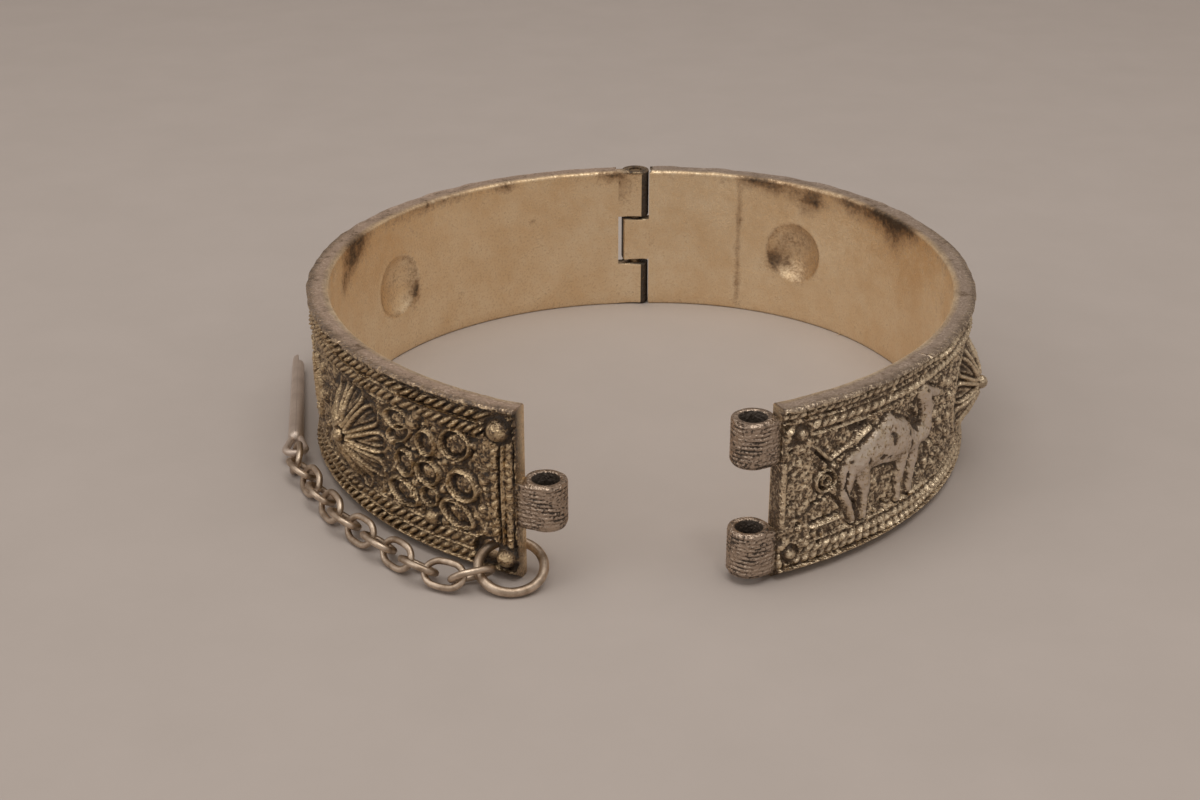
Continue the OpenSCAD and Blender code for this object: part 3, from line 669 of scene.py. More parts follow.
def mark_points(thing, relief, corner, barrels, rosettes, stains_and_shade):
    """Values at each point for the material to read: how deep it lies in tarnish and painted shade, and
    whether it is inside, on the rim, on calm or pale relief, on a barrel, or under a stain or the painted
    shade of a dimple."""
    p = np.empty(len(thing.data.vertices) * 3)
    thing.data.vertices.foreach_get("co", p)
    p = p.reshape(-1, 3) / MM
    z, length = p[:, 2], relief.strip.length
    s, out = relief.strip.unroll(p)
    x, y = relief.strip.to_closed(p)
    from_hinge, from_clasp = np.hypot(x, y), np.hypot(x, y + CLASP_REACH)
    from_dome = np.min([np.hypot(s - at, z - ROSETTE_Z) for at in rosettes], 0)

    # Which part of the half a point lies on
    cup = (from_dome < DIMPLE_R + 0.3) & (out < DIMPLE_DEPTH + 0.1)
    face = smooth((out - 0.9) / 0.4) * ~cup
    end_face = (s > length - 0.05) & (out > 0.1)
    on_barrel = smooth((s - length + 0.02) / 0.1)
    end_cap = sum(np.abs(z - at) < 0.14 for row in barrels for at in row) > 0
    on_knuckle = (from_hinge < KNUCKLE_R + 0.12) & ((y > -AXIS_DEPTH + 0.04) | (x > corner - 0.01))
    knuckle_top = (from_hinge < KNUCKLE_R + 0.4) & (z > BAND_H - 0.2)
    inner_edge = (z > BAND_H - 0.2) & (out < 0.3)
    plain = (1 - on_barrel) * ~on_knuckle * ~knuckle_top * ~end_face

    # Its depth in tarnish and painted shade: the relief's own on the outer face, then what the barrels, the
    # bores, the crowns, the knuckles and the edges have instead. The bores are painted dark as the shade
    # inside them, and the knuckles' rounding by the hinge gap is dark with dirt and the painted shade of the
    # gap.
    depth = relief.sample(tarnish_and_shade_of(relief), s, z) * face + 0.3 * (1 - face)
    groove = 0.34 + 0.45 * smooth((BARREL_R - 0.03 - from_clasp) / 0.1) * (from_clasp > 1.6) * ~end_cap
    depth = np.where(s > length - 0.05, np.maximum(depth, 0.46), depth)
    depth = depth * (1 - on_barrel) + on_barrel * groove
    for where, level in [(from_clasp < 1.16, 1.0), ((from_dome < 0.75) & (out > DOME_CROWN - 0.2), 0.22),
                         (on_knuckle, np.where(y < 0.3, 0.95, 0.45)), (knuckle_top, 0.5),
                         (inner_edge, 0.62), ((z > BAND_H - 0.1) & (out > 1.25), 0.5)]:
        depth = np.where(where, level, depth)

    # The rim is darker on its outer side at the front. Dirt gathers inside at the top and in the stains, and
    # the dimples are painted darker inside and in a ring round their edge, as their shade.
    rubbed = 1 - 0.65 * smooth((out - 1.2) / 0.25) * smooth((s - 30) / 8)
    dirt_and_dimple_shade = 0.3 * smooth((z - 13.8) / 1.4)
    for at, up, long, high, strength in stains_and_shade:
        dirt_and_dimple_shade = dirt_and_dimple_shade + strength * np.exp(-((s - at) / long) ** 2 - ((z - up) / high) ** 2)
    dirt_and_dimple_shade = dirt_and_dimple_shade + 0.36 * np.exp(-((from_dome - DIMPLE_R) / 0.2) ** 2) + 0.22 * (from_dome < DIMPLE_R)
    marks = {
        "tarnish_and_shade": depth,
        "inside": np.maximum(1 - smooth((out - 0.12) / 0.25), cup) * plain,
        "rim": smooth((z - BAND_H + 0.2) / 0.1) * ~knuckle_top * (1 - 0.55 * inner_edge) * rubbed,
        "calm": relief.sample(relief.calm, s, z) * face,
        "pale": relief.sample(relief.pale, s, z) * face,
        "clasp": on_barrel,
        "stain_and_shade": dirt_and_dimple_shade * (out < 1.4),
    }
    for name, values in marks.items():
        field = thing.data.attributes.new(name, "FLOAT", "POINT")
        field.data.foreach_set("value", np.asarray(values, np.float32))
    thing.data.shade_smooth()
    thing.data.set_sharp_from_angle(angle=math.radians(62))


# Stains on the inner face, and painted shade in the dimple behind the first dome: the rows at 26.4 and 31.6
# along. Columns: along, up, half length, half height, strength
LEFT_STAINS_AND_SHADE = [
    (36.2, 14.2, 2.4, 1.2, 1.0), (38.8, 13.4, 2.0, 1.9, 0.95), (40.6, 12.0, 0.9, 1.3, 0.6),
    (14.3, 14.4, 1.5, 0.5, 1.0), (11.2, 10.4, 0.35, 0.35, 0.7), (26.4, 6.0, 0.7, 1.2, 0.8),
    (31.6, 7.4, 0.5, 1.9, 0.5), (2.4, 14.7, 1.4, 0.5, 0.9), (48.0, 9.0, 5.0, 9.0, 0.2),
    (24.0, 14.8, 6.0, 0.6, 0.45), (0.8, 14.0, 0.7, 1.2, 0.5), (1.4, 2.0, 0.7, 1.6, 0.3),
]
# Columns of both: lower end, upper end
LEFT_KNUCKLES = [(0.15, 4.7), (10.15, BAND_H - 0.1)]
LEFT_BARRELS = [(4.8, 8.9)]
# The gap round the other half's knuckle, and where the flat inner side of a knuckle turns
LEFT_GAP, LEFT_CORNER = 0.75, 0.85

left_half = cuff_half("cuff_left", left, LEFT_KNUCKLES, LEFT_GAP, LEFT_CORNER,
                      LEFT_BARRELS, LEFT_ROSETTES)
inner_end, outer_end = [LEFT.place(LEFT.length - hole_back, hole_up, out) for out in (-1.0, RIM_T + 2)]
combine(left_half, [rod("ring_hole", inner_end, outer_end, hole_r)], "DIFFERENCE")
mark_points(left_half, left, LEFT_CORNER, LEFT_BARRELS, LEFT_ROSETTES, LEFT_STAINS_AND_SHADE)


class Wire:
    """An output in a material. Sums, differences and products of wires add their Math nodes."""

    def __init__(self, finish, socket):
        self.finish, self.socket = finish, socket

    def math(self, operation, *terms, clamp=False):
        settings = {"operation": operation, "use_clamp": clamp}
        return self.finish.node("Math", settings, dict(enumerate(terms)))

    def __add__(self, other):
        return self.math("ADD", self, other)

    def __sub__(self, other):
        return self.math("SUBTRACT", self, other)

    def __rsub__(self, other):
        return self.math("SUBTRACT", other, self)

    def __mul__(self, other):
        return self.math("MULTIPLY", self, other)

    def over(self, low, high):
        """0 below low, 1 above high, and a straight ramp between."""
        return self.math("MULTIPLY", self.math("SUBTRACT", self, low), 1 / (high - low), clamp=True)

    __radd__, __rmul__ = __add__, __mul__


class Finish:
    """A material with one Principled shader, whose nodes are added by name."""

    def __init__(self, name, **constants):
        self.material = bpy.data.materials.new(name)
        self.material.use_nodes = True
        self.tree = self.material.node_tree
        self.shader = self.tree.nodes["Principled BSDF"]
        for key, value in constants.items():
            self.shader.inputs[key.replace("_", " ")].default_value = value

    def node(self, kind, settings=None, inputs=None, output=0):
        made = self.tree.nodes.new("ShaderNode" + kind)
        for key, value in (settings or {}).items():
            setattr(made, key, value)
        for key, value in (inputs or {}).items():
            if isinstance(value, Wire):
                self.tree.links.new(value.socket, made.inputs[key])
            else:
                made.inputs[key].default_value = value
        return Wire(self, made.outputs[output])

    def blend(self, factor, first, second):
        """A colour between two colours."""
        return self.node("Mix", {"data_type": "RGBA"}, {6: first, 7: second, 0: factor}, 2)

    def noise(self, scale, detail, rough, stretch=(1, 1, 1)):
        """Noise in the piece's own space, with that many features in a metre."""
        place = self.node("TexCoord", None, None, "Object")
        place = self.node("Mapping", None, {"Vector": place, "Scale": stretch})
        settings = {"Vector": place, "Scale": scale, "Detail": detail, "Roughness": rough}
        return self.node("TexNoise", None, settings)

    def mark(self, name):
        """A value that the mesh holds at each point."""
        return self.node("Attribute", {"attribute_name": name}, None, "Fac")

    def drive(self, **wires):
        """Plug wires into the shader, and give the material."""
        for key, wire in wires.items():
            self.tree.links.new(wire.socket, self.shader.inputs[key.replace("_", " ")])
        return self.material

    def bump(self, height, distance, strength):
        return self.node("Bump", None, {"Height": height, "Distance": distance, "Strength": strength})


TARNISH = (0.175, 0.118, 0.074, 1)
DIRT_AND_SHADE = (0.056, 0.042, 0.032, 1)
GILT = (0.84, 0.645, 0.41, 1)
GILT_PALE = (0.93, 0.78, 0.56, 1)
BROWN_STAIN_AND_SHADE = (0.36, 0.225, 0.125, 1)
BLACK_STAIN_AND_SHADE = (0.055, 0.042, 0.034, 1)
BARREL_GREY = (0.49, 0.385, 0.305, 1)


def cast_silver(name, peak, worn, rim_tone, pale_tone, grime_and_shade):
    """Cast silver: bright on what stands out, brown to black in what lies deep and where shade is painted,
    gilt inside.
    """
    finish = Finish(name)
    marks = ("tarnish_and_shade", "inside", "rim", "pale", "clasp", "stain_and_shade", "calm")
    tarnish_and_shade, inside, rim, pale, clasp, stain_and_shade, calm = [finish.mark(value) for value in marks]
    fine = finish.noise(4800, 1, 0.5)
    mid = finish.noise(2100, 2, 0.5)
    patch = finish.noise(620, 3, 0.55)
    broad = finish.noise(170, 3, 0.5)
    streaks = finish.noise(700, 3, 0.6, (1, 1, 7))
    # How deep in tarnish and painted shade each place lies, made uneven
    uneven = 2.6 * (fine - 0.5) + 1.2 * (mid - 0.5) + 0.4 * (patch - 0.5) + 0.3 * (broad - 0.5)
    depth = tarnish_and_shade + uneven * (1 - 0.45 * clasp) * (1 - 0.45 * calm) + clasp * (0.9 * (streaks - 0.5))
    # The outer face, from bright peaks to tarnish, then dirt and painted shade, with grit in its pores
    metal = finish.blend(depth.over(0.0, 0.36), peak, worn)
    metal = finish.blend(depth.over(0.34, 0.60), metal, TARNISH)
    metal = finish.blend(grime_and_shade * depth.over(0.62, 0.84), metal, DIRT_AND_SHADE)
    grit = (1 - fine).over(0.5, 0.6) * depth.over(-0.15, 0.3)
    metal = finish.blend(0.85 * grit, metal, DIRT_AND_SHADE)
    # The camel's pale face, the greyer barrels with painted shade in their bores, and the blotched upper rim
    specks = (2.2 * (mid - 0.5) + 2.2 * (fine - 0.5) + 1.2 * (patch - 0.5) + tarnish_and_shade).over(0.13, 0.42)
    metal = finish.blend(pale * (1 - specks), metal, pale_tone)
    grey = finish.blend(depth.over(0.40, 0.70), BARREL_GREY, DIRT_AND_SHADE)
    metal = finish.blend(clasp * 0.85, metal, grey)
    blotches = (1.2 * (patch - 0.5) + 0.9 * (mid - 0.5) + 0.9 * (fine - 0.5)).over(0.04, 0.4)
    worn_rim = finish.blend(blotches, rim_tone, TARNISH)
    metal = finish.blend(rim * 0.9, metal, worn_rim)
    # The inner face, gilt in two shades, with brown and black stains, painted shade in the dimples, and worn
    # specks
    inner = finish.blend((0.6 * broad + 0.4 * patch).over(0.36, 0.64), GILT, GILT_PALE)
    spread = stain_and_shade * 1.1 + 0.9 * (mid - 0.5) + 1.1 * (patch - 0.5) + 0.5 * (fine - 0.5)
    inner = finish.blend(0.85 * spread.over(0.2, 1.0), inner, BROWN_STAIN_AND_SHADE)
    inner = finish.blend(0.9 * spread.over(0.85, 1.45), inner, BLACK_STAIN_AND_SHADE)
    inner = finish.blend(0.25 * fine.over(0.48, 0.78), inner, worn)
    colour = finish.blend(inside, metal, inner)
    rough = 0.34 + 0.26 * depth.over(0.15, 0.7) + 0.07 * inside + 0.14 * rim
    shine = 1 - 0.8 * depth.over(0.55, 0.8) * (1 - inside)
    relief = (0.5 * fine + 0.5 * mid) * (1 - 0.8 * inside) * (1 - 0.6 * rim) * (1 - 0.6 * pale)
    normal = finish.bump(relief, 0.0003, 0.9)
    return finish.drive(Base_Color=colour, Roughness=rough, Metallic=shine, Normal=normal)


def dress(thing, material):
    """Give a piece that one material alone."""
    thing.data.materials.clear()
    thing.data.materials.append(material)


LEFT_PEAK, LEFT_WORN = (0.66, 0.505, 0.31, 1), (0.43, 0.32, 0.205, 1)
LEFT_RIM = (0.61, 0.475, 0.38, 1)
dress(left_half, cast_silver("cast_silver_left", LEFT_PEAK, LEFT_WORN, LEFT_RIM, LEFT_PEAK, grime_and_shade=0.95))
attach(left_half, "left")
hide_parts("left_half")


# The right half, a casting like the left one: one knuckle, two barrels, two rosettes, and a
# panel with a camel that stands between pellet-stemmed plants and leaves. The columns of its
# tables are those of the left half's.
RIGHT_ROSETTES = [17.6, 53.9]
RIGHT_ROPES = [(1.38, 0.8, 0.34, 0.82, 0.40), (2.12, 2.1, 0.36, 0.86, 0.42)]
RIGHT_RIDGES = [(1.76, 1.45, 0.09, 0.16), (2.78, 2.85, 0.09, 0.18)]
RIGHT_LOOPS = [
    (78.35, 7.9, 1.1, 1.05, 0, 0.3, 0.3, -0.1, 0.0),
    (78.35, 7.9, 0.55, 0.52, 0, 0.24, 0.26, 0.1, 0.0),
]
RIGHT_PELLETS = [
    (79.5, 9.2, 0.42), (78.6, 9.35, 0.45), (77.6, 9.0, 0.34), (78.5, 3.3, 0.3), (77.5, 3.35, 0.3),
    (64.4, 9.0, 0.6), (63.6, 8.0, 0.55), (63.0, 6.8, 0.5), (65.2, 6.5, 0.45), (66.4, 6.9, 0.36),
    (65.9, 5.2, 0.55), (64.6, 4.4, 0.6), (63.1, 4.9, 0.5), (66.9, 4.4, 0.42), (63.2, 11.6, 0.6),
    (61.8, 10.8, 0.6), (60.9, 9.2, 0.6), (61.4, 7.6, 0.6), (61.0, 5.8, 0.6), (61.9, 3.9, 0.5),
    (62.9, 9.6, 0.45), (65.2, 12.1, 0.4), (71.4, 3.3, 0.4), (72.6, 3.3, 0.36), (67.4, 5.6, 0.3),
]
# Columns: along, up, radius
RIGHT_PITS = [
    (82.2, 13.6, 0.2), (81.7, 11.3, 0.24), (82.4, 3.5, 0.34), (80.9, 4.7, 0.28), (78.7, 2.45, 0.28),
    (80.4, 14.5, 0.18), (79.4, 14.6, 0.2), (81.9, 6.6, 0.16), (80.2, 9.0, 0.16), (71.2, 3.8, 0.42),
    (82.0, 9.2, 0.16),
]
RIGHT_STUDS = [(1.7, 12.65, 0.66, 2.0), (1.15, 2.2, 0.62, 2.0)]
# Strokes of the camel: along, up and radius at one end, then at the other
CAMEL = [
    (75.3, 8.6, 1.3, 72.6, 9.3, 1.75), (72.6, 9.3, 1.75, 70.6, 9.0, 1.95),
    (70.6, 9.0, 1.9, 68.3, 8.0, 1.1), (72.3, 10.3, 0.95, 71.7, 11.2, 0.6),
    (71.7, 11.1, 0.6, 70.2, 10.0, 0.7), (68.3, 8.0, 1.1, 66.4, 8.3, 1.0),
    (66.3, 8.5, 1.0, 66.0, 10.2, 0.88), (66.0, 10.2, 0.88, 66.9, 12.0, 0.75),
    (66.9, 12.0, 0.75, 64.5, 11.1, 0.42), (67.9, 7.4, 0.9, 68.1, 5.4, 0.45),
    (68.1, 5.4, 0.45, 68.2, 3.5, 0.34), (69.6, 7.3, 0.8, 69.9, 5.4, 0.42),
    (69.9, 5.4, 0.42, 69.9, 3.4, 0.36), (76.0, 8.0, 1.0, 76.3, 6.0, 0.5),
    (76.3, 6.0, 0.5, 75.3, 3.4, 0.34), (74.6, 7.8, 1.1, 74.1, 5.6, 0.48),
    (74.1, 5.6, 0.48, 74.2, 3.4, 0.36),
]
# Dark spots worn through the camel's bright face. Columns: along, up, half length, half height
CAMEL_SPOTS = [
    (71.6, 9.7, 0.3, 0.5), (74.4, 8.6, 0.3, 0.22), (72.8, 8.5, 0.4, 0.25), (72.0, 8.2, 0.3, 0.18),
    (69.3, 9.4, 0.22, 0.32), (69.1, 8.1, 0.14, 0.5), (66.8, 12.2, 0.2, 0.2), (66.0, 11.5, 0.22, 0.16),
    (67.9, 9.0, 0.3, 0.2), (76.1, 9.0, 0.24, 0.2),
]
# Ribs and grooves of the leaves. Columns: along and up at each end, half width, rise
RIGHT_BARS = [
    (79.6, 4.12, 76.9, 4.2, 0.2, 0.34), (80.2, 11.6, 78.1, 9.75, 0.14, 0.2),
    (78.1, 9.75, 75.6, 10.8, 0.16, 0.26), (75.6, 10.8, 74.3, 11.5, 0.3, 0.5),
    (80.0, 12.35, 73.4, 12.35, 0.12, 0.12), (76.5, 3.05, 65.5, 3.05, 0.12, 0.26),
    (78.3, 9.4, 76.4, 10.0, 0.16, -0.25), (80.0, 11.2, 78.4, 9.6, 0.15, -0.25),
    (80.9, 5.3, 79.2, 6.15, 0.17, -0.3), (79.2, 6.15, 77.9, 6.6, 0.15, -0.26),
    (77.9, 6.6, 77.0, 5.8, 0.14, -0.25), (77.0, 5.8, 76.6, 4.7, 0.17, -0.28),
    (79.6, 4.62, 78.0, 4.5, 0.13, -0.24), (78.0, 4.5, 76.9, 4.66, 0.2, -0.34),
    (75.9, 11.8, 74.6, 11.9, 0.3, -0.3), (68.8, 11.0, 67.8, 9.9, 0.4, -0.3),
    (68.0, 11.6, 68.4, 10.6, 0.4, -0.3), (67.3, 6.8, 67.0, 5.0, 0.22, -0.3),
    (72.0, 3.9, 71.2, 3.6, 0.25, -0.3), (75.2, 5.2, 75.0, 4.2, 0.16, -0.3),
]

right = Relief(RIGHT, seed=23, lean=-1)
right.border(RIGHT_ROPES, RIGHT_RIDGES, width=BORDER_W, slant=0.75)
for at in RIGHT_ROSETTES:
    right.rosette(at, ring=0.14)
right.loops(RIGHT_LOOPS)
for row in RIGHT_PELLETS:
    right.pellet(*row)
for first, last in [(5.4, 10.0), (24.8, 25.0), (32.0, 47.5)]:
    right.leaf_scroll(first, last, LEAF_SPACING)
for row in RIGHT_BARS:
    right.bar(*row)


def camel(relief):
    """A smooth figure in low relief, its strokes melted into one another."""
    gap, blend = np.full(relief.S.shape, 9.0), 0.3
    for s0, z0, r0, s1, z1, r1 in CAMEL:
        run = (s1 - s0) ** 2 + (z1 - z0) ** 2
        t = np.clip(((relief.S - s0) * (s1 - s0) + (relief.Z - z0) * (z1 - z0)) / run, 0, 1)
        d = np.hypot(relief.S - s0 - t * (s1 - s0), relief.Z - z0 - t * (z1 - z0)) - (r0 + t * (r1 - r0))
        mix = np.clip(0.5 + 0.5 * (gap - d) / blend, 0, 1)
        gap = gap * (1 - mix) + d * mix - blend * mix * (1 - mix)
    gap = gap + 0.05 * relief.wobble
    relief.sink(GROUND_T - 0.16, (gap > 0) & (gap < 0.22) & (relief.edge > 2.6))
    body = GROUND_T - 0.16 + 0.42 * smooth(-gap / 0.26) + 0.55 * smooth(-gap / 1.5)
    relief.add(body + 0.04 * relief.stipple + 0.11 * relief.lumps, gap < 0)
    relief.pale = smooth(-gap / 0.3)
    relief.soothe(relief.pale)
    relief.bar(76.3, 8.2, 76.5, 6.8, 0.1, -0.2)
    relief.bar(76.5, 6.8, 75.8, 5.4, 0.1, -0.2)
    for s, z, long, high in CAMEL_SPOTS:
        ragged = 1.3 + 0.5 * relief.lumps + 0.8 * relief.stipple
        spot = np.exp(-(((relief.S - s) / long) ** 2 + ((relief.Z - z) / high) ** 2) * ragged)
        relief.height = relief.height - 0.14 * spot
        relief.pale = relief.pale * (1 - smooth(1.4 * spot))
        relief.dark = relief.dark + 0.6 * smooth(1.2 * spot)


camel(right)


def plain_end(relief):
    """The clasp end: a rough strip with one faint upright rib and a smooth lip."""
    back = relief.strip.length - relief.S
    inner = (relief.edge > 2.4) & (back < 2.9)
    rough = GROUND_T + 0.06 + 0.12 * relief.stipple + 0.04 * relief.lumps
    relief.height = np.where(inner & (relief.height < rough), rough, relief.height)
    v = (back - 2.55 + 0.12 * relief.wobble) / 0.16
    relief.add(GROUND_T + 0.16 * swell(v) + 0.1 * relief.stipple, (np.abs(v) < 1) & inner)
    v = (back - 0.28) / 0.28
    relief.add(GROUND_T + 0.4 * swell(v), (np.abs(v) < 1) & (np.abs(relief.Z - 7.6) < 2.8))


plain_end(right)
right.weather()
for row in RIGHT_PITS:
    right.pit(*row)
for row in RIGHT_STUDS:
    right.stud(*row)

# Stains on the inner face as in the left table; the rows from 15.0 to 18.6 along are painted shade in the
# dimple behind the first rosette.
RIGHT_STAINS_AND_SHADE = [
    (15.6, 14.4, 2.6, 0.9, 0.9), (19.4, 13.7, 1.7, 1.2, 1.1), (12.8, 14.9, 2.0, 0.5, 0.7),
    (28.8, 14.4, 3.4, 1.2, 1.1), (33.5, 14.5, 3.0, 0.9, 1.1), (31.8, 12.6, 1.8, 1.5, 0.6),
    (11.2, 11.0, 0.42, 2.6, 0.5), (11.2, 3.6, 0.42, 3.0, 0.5), (11.1, 7.6, 0.3, 9.0, 0.3),
    (24.0, 14.4, 3.0, 0.8, 0.7), (15.0, 6.4, 0.7, 1.4, 0.5), (18.6, 5.4, 1.2, 0.7, 0.2),
    (46.0, 9.0, 5.0, 9.0, 0.2), (1.2, 7.4, 1.1, 1.3, 0.3), (17.8, 8.6, 2.3, 2.0, 0.3),
    (16.0, 6.8, 0.9, 1.3, 0.5), (17.6, 5.6, 2.4, 1.1, 0.35),
]
RIGHT_KNUCKLES = [(5.25, 9.8)]
RIGHT_BARRELS = [(0.6, 4.6), (10.3, 14.3)]
RIGHT_GAP, RIGHT_CORNER = 0.38, 1.25

right_half = cuff_half("cuff_right", right, RIGHT_KNUCKLES, RIGHT_GAP, RIGHT_CORNER,
                       RIGHT_BARRELS, RIGHT_ROSETTES)
mark_points(right_half, right, RIGHT_CORNER, RIGHT_BARRELS, RIGHT_ROSETTES, RIGHT_STAINS_AND_SHADE)
RIGHT_PEAK, RIGHT_WORN = (0.85, 0.705, 0.50, 1), (0.57, 0.455, 0.325, 1)
RIGHT_RIM, CAMEL_TONE = (0.52, 0.42, 0.345, 1), (0.68, 0.585, 0.49, 1)
dress(right_half, cast_silver("cast_silver_right", RIGHT_PEAK, RIGHT_WORN, RIGHT_RIM, CAMEL_TONE, grime_and_shade=0.65))
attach(right_half, "right")
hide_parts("right_half")


# The hinge pin, a plain drawn rod that stays in the knuckles for good. Only its two ends show,
# hammered flush and dull with age.
def dull_pin():
    finish = Finish("dull_pin", Metallic=0.9)
    wear = finish.noise(2600, 3, 0.6)
    colour = finish.blend(wear.over(0.35, 0.7), LEFT_WORN, TARNISH)
    return finish.drive(Base_Color=colour, Roughness=0.4 + 0.2 * wear)


dress(frame["nodes"]["hinge_pin"], dull_pin())


# The jump ring and the safety chain: round wire of a rosier alloy than the cuff, bent into a
# large ring and twelve oval links, each closed with a butt joint and polished by handling.
RING_CENTRE = Vector((-10.9, -30.9, 1.42))
RING_R, RING_LEAN, RING_TURN = 2.65, 21.5, 6.0
LINK_L, LINK_W = 4.0, 2.65
# Radii of the wire
RING_WIRE, LINK_WIRE = 0.4, 0.28
FIRST_LINK = Vector((-14.0, -31.95, 1.26))
# Columns: heading, roll, distance from the link before
LINKS = [
    (203, 44, 0), (156, -46, 2.4), (139, 35, 2.6), (133, -60, 2.62),
    (130, 35, 2.62), (131, -60, 2.62), (126, 35, 2.62), (119, -60, 2.62),
    (116, 35, 2.62), (116, -60, 2.62), (119, 35, 2.62), (100, -68, 2.45),
]


def wire_ring(p, way, r, steps):
    """Points round a level wire that runs that way through p."""
    up = Vector((0, 0, 1))
    side = way.normalized().cross(up)
    return [p + r * (math.cos(a) * side + math.sin(a) * up) for a in circle(steps)]


def wire_loop(name, path, r, place, seed, steps=18):
    """Round wire swept round a closed path, a little uneven, with a seam where its ends meet."""
    rng = np.random.default_rng(seed)
    n = len(path)
    turn = 2 * math.pi * np.arange(n) / n
    wave = sum(rng.uniform(-1, 1) * np.cos(k * turn + rng.uniform(0, 6)) for k in (2, 3, 5, 8))
    points = []
    for i, p in enumerate(path):
        seam = 0.06 * math.exp(-((i - n * 0.25) * 1.1) ** 2)
        radius = float(r * (1 + 0.008 * wave[i] - seam))
        points += [place @ q for q in wire_ring(p, path[(i + 1) % n] - path[i - 1], radius, steps)]
    faces, last = tube_faces(n, steps, caps=False), (n - 1) * steps
    faces += [(last + j, last + (j + 1) % steps, (j + 1) % steps, j) for j in range(steps)]
    loop = mesh_of(name, points, faces)
    loop.data.shade_smooth()
    return loop


def oval_path(length, width, wire_r, n):
    """The middle line of an oval link, halfway between an ellipse and two bends joined by straights."""
    bend = width / 2 - wire_r
    reach = length / 2 - wire_r
    side = reach - bend
    total = 2 * math.pi * bend + 4 * side
    path = []
    for i in range(n):
        half, t = divmod(total * i / n, total / 2)
        if t < math.pi * bend:
            a = t / bend - math.pi / 2
            x, y = side + bend * math.cos(a), bend * math.sin(a)
        else:
            x, y = side - (t - math.pi * bend), bend
        a = math.atan2(y / bend, x / reach)
        p = Vector((x + reach * math.cos(a), y + bend * math.sin(a), 0)) / 2
        path.append(-p if half else p)
    return path


def rosy_wire():
    """Rosy silver wire, bright where it is rubbed, with a brown film in places."""
    finish = Finish("rosy_wire", Metallic=1.0)
    film = finish.noise(900, 4, 0.6)
    fine = finish.noise(7000, 3, 0.6)
    colour = finish.blend(film.over(0.38, 0.66), (0.66, 0.54, 0.425, 1), (0.33, 0.245, 0.175, 1))
    rough = 0.28 + 0.2 * film + 0.1 * fine
    return finish.drive(Base_Color=colour, Roughness=rough, Normal=finish.bump(fine, 0.00002, 0.5))


wire_finish = rosy_wire()


def hang(piece, node, finish=wire_finish):
    """Dress a piece of the chain, which stays with the left half as it lies."""
    dress(piece, finish)
    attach(piece, "left")
    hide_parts(node)


def lay(at, heading, tilt, axis="X"):
    """Where a piece lies: turned on the table and tilted about its own axis, in degrees."""
    turned_to = Matrix.Rotation(math.radians(heading), 4, "Z")
    return Matrix.Translation(at) @ turned_to @ Matrix.Rotation(math.radians(tilt), 4, axis)


ring_place = lay(RING_CENTRE, RING_TURN, RING_LEAN)
ring_path = [Vector((RING_R * math.cos(a), RING_R * math.sin(a), 0)) for a in circle(120)]
hang(wire_loop("jump_ring_wire", ring_path, RING_WIRE, ring_place, seed=5, steps=24), "jump_ring")


def link_way(k):
    a = math.radians(LINKS[k][0])
    return Vector((math.cos(a), math.sin(a), 0))


link_path = oval_path(LINK_L, LINK_W, LINK_WIRE, 96)
centre = FIRST_LINK.copy()
for k, (heading, roll, spacing) in enumerate(LINKS):
    if k:
        centre += spacing / 2 * (link_way(k - 1) + link_way(k))
    name = f"link_{k + 1:02d}"
    hang(wire_loop(name, link_path, LINK_WIRE, lay(centre, heading, roll), 40 + k), f"chain_{name}")


# The clasp pin: half-round wire doubled over, with a round eye at the bend and the two flat
# sides together as a shank. It goes down through the three barrels to shut the cuff.
EYE_END = Vector((-31.29, -10.46, 1.3))
PIN_HEADING = 98.0
PIN_TIP_Z = 0.74
PIN_L, PIN_R = 23.0, 0.72
EYE_R, EYE_WIRE, NECK_L = 0.88, 0.33, 2.4
# Half the slit between the legs, and how much shorter one of them is
HALF_SLIT, SHORT_LEG = 0.008, 1.4


def pin_eye(place):
    """The eye: half a turn of wire, and two sides that draw together into the shank."""
    drop = (EYE_R - PIN_R / 2) / NECK_L
    side = [Vector((EYE_R + t * NECK_L, EYE_R - t * NECK_L * drop, 0)) for t in np.linspace(0, 1, 10)]
    other = [Vector((p.x, -p.y, 0)) for p in side]
    turn = np.linspace(-1.5, 1.5, 40)
    bend = [Vector((EYE_R - EYE_R * math.cos(a), EYE_R * math.sin(a), 0)) for a in turn]
    route = other[::-1] + bend + side
    points, steps = [], 20
    for i, p in enumerate(route):
        way = route[min(i + 1, len(route) - 1)] - route[max(i - 1, 0)]
        points += [place @ q for q in wire_ring(p, way, EYE_WIRE, steps)]
    return mesh_of("clasp_pin_wire", points, tube_faces(len(route), steps))


def pin_leg(place, side, length):
    """One half-round leg of the shank, a little slimmer towards its rounded tip."""
    start = EYE_R + NECK_L - 0.2
    # Where each ring of points stands along the pin, and its scale
    stations = [(start - 0.25, 0.35), (start, 0.8), (start + 0.4, 1.0)]
    stations += [(x, 1.0) for x in np.linspace(start + 1, length - 0.8, 30)]
    stations += [(length - 0.3, 0.92), (length - 0.08, 0.75), (length, 0.45)]
    half_turn = np.linspace(0, math.pi, 20)
    ring = [(side * (HALF_SLIT + (PIN_R - HALF_SLIT) * math.sin(a)), PIN_R * math.cos(a)) for a in half_turn]
    points = []
    for x, scale in stations:
        taper = scale * (1 - 0.2 * (x - start) / (length - start))
        points += [place @ Vector((x, y * taper, z * taper)) for y, z in ring]
    return mesh_of("leg", points, tube_faces(len(stations), len(ring)))


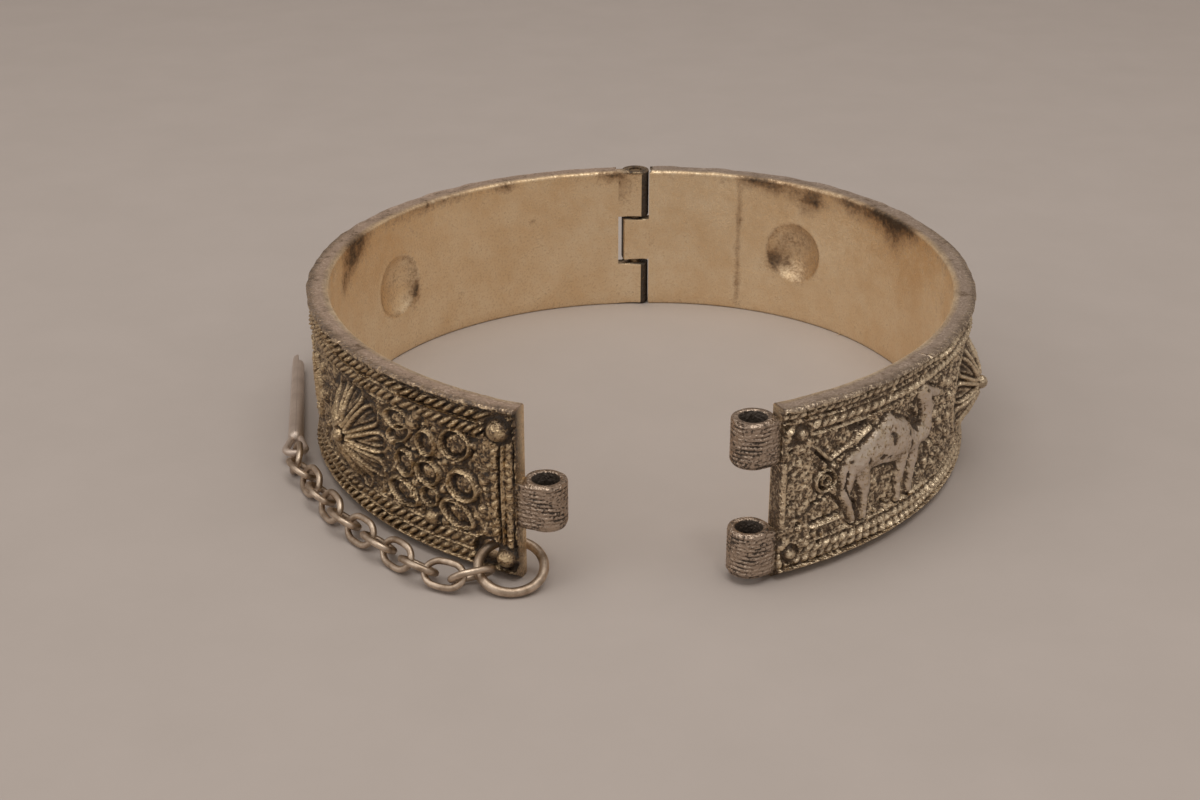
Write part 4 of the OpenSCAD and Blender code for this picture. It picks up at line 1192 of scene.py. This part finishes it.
dip = math.degrees(math.asin((EYE_END.z - PIN_TIP_Z) / PIN_L))
pin_place = lay(EYE_END, PIN_HEADING, dip, "Y")
pin_piece = pin_eye(pin_place)
combine(pin_piece, [pin_leg(pin_place, 1, PIN_L), pin_leg(pin_place, -1, PIN_L - SHORT_LEG)], "UNION")
pin_piece.data.shade_smooth()
pin_piece.data.set_sharp_from_angle(angle=math.radians(50))


def pale_wire():
    """The pin's silver: greyer than the chain's, dull and even from handling."""
    finish = Finish("pale_wire", Metallic=0.85)
    film = finish.noise(420, 3, 0.5)
    colour = finish.blend(film.over(0.3, 0.7), (0.70, 0.60, 0.52, 1), (0.56, 0.465, 0.395, 1))
    return finish.drive(Base_Color=colour, Roughness=0.42 + 0.12 * film)


hang(pin_piece, "clasp_pin", pale_wire())


# The table top that the bracelet lies on, a pale warm grey sweep, with soft light from all
# round and above, and the camera at the height of someone who looks down at it.
def sweep():
    """The sheet of paper: flat in front, bent up behind, in metres."""
    width, front, back, rise, bend = 1.6, -0.7, 0.55, 0.8, 0.3
    curve = np.linspace(0.1, 1.57, 12)
    profile = [(front, 0.0), (back - bend, 0.0)]
    profile += [(back - bend + bend * math.sin(a), bend - bend * math.cos(a)) for a in curve]
    profile.append((back, rise))
    points = [(x / MM, y / MM, z / MM) for y, z in profile for x in (-width / 2, width / 2)]
    faces = [(2 * i, 2 * i + 1, 2 * i + 3, 2 * i + 2) for i in range(len(profile) - 1)]
    floor = mesh_of("table_sweep", points, faces)
    floor.data.shade_smooth()
    finish = Finish("warm_grey_paper", Metallic=0.0, Roughness=0.85)
    fibre = finish.noise(90, 4, 0.6)
    colour = finish.blend(fibre.over(0.3, 0.7), (0.455, 0.405, 0.372, 1), (0.475, 0.423, 0.39, 1))
    floor.data.materials.append(finish.drive(Base_Color=colour))


sweep()


def softbox(name, place, aim, width, height, power, colour):
    """A rectangular lamp that faces its aim."""
    light = bpy.data.lights.new(name, "AREA")
    light.shape, light.size, light.size_y = "RECTANGLE", width, height
    light.energy, light.color = power, colour
    lamp = bpy.data.objects.new(name, light)
    lamp.location = place
    lamp.rotation_euler = (Vector(aim) - Vector(place)).to_track_quat("-Z", "Y").to_euler()
    bpy.context.scene.collection.objects.link(lamp)


softbox("overhead", (0.0, -0.05, 0.42), (0, -0.02, 0), 0.4, 0.35, 0.75, (1.0, 0.97, 0.93))
softbox("left_window", (-0.5, -0.2, 0.35), (0, 0, 0), 0.35, 0.45, 0.45, (1.0, 0.98, 0.96))
softbox("small_lamp", (0.08, -0.2, 0.4), (0, -0.02, 0), 0.05, 0.05, 0.12, (1.0, 0.97, 0.93))

world = bpy.data.worlds.new("room")
world.use_nodes = True
world.node_tree.nodes["Background"].inputs["Color"].default_value = (0.50, 0.455, 0.42, 1)
world.node_tree.nodes["Background"].inputs["Strength"].default_value = 0.95
bpy.context.scene.world = world
bpy.context.scene.view_settings.view_transform = "Standard"

CAMERA_AT = Vector((-3.8, -155.92, 73.96)) * MM
LOOK_DOWN = 24.85
lens = bpy.data.cameras.new("camera")
lens.lens, lens.sensor_width, lens.clip_start = 54.0, 36.0, 0.005
camera = bpy.data.objects.new("camera", lens)
camera.location = CAMERA_AT
camera.rotation_euler = (math.radians(90 - LOOK_DOWN), 0, 0)
bpy.context.scene.collection.objects.link(camera)
bpy.context.scene.camera = camera

bpy.context.view_layer.update()
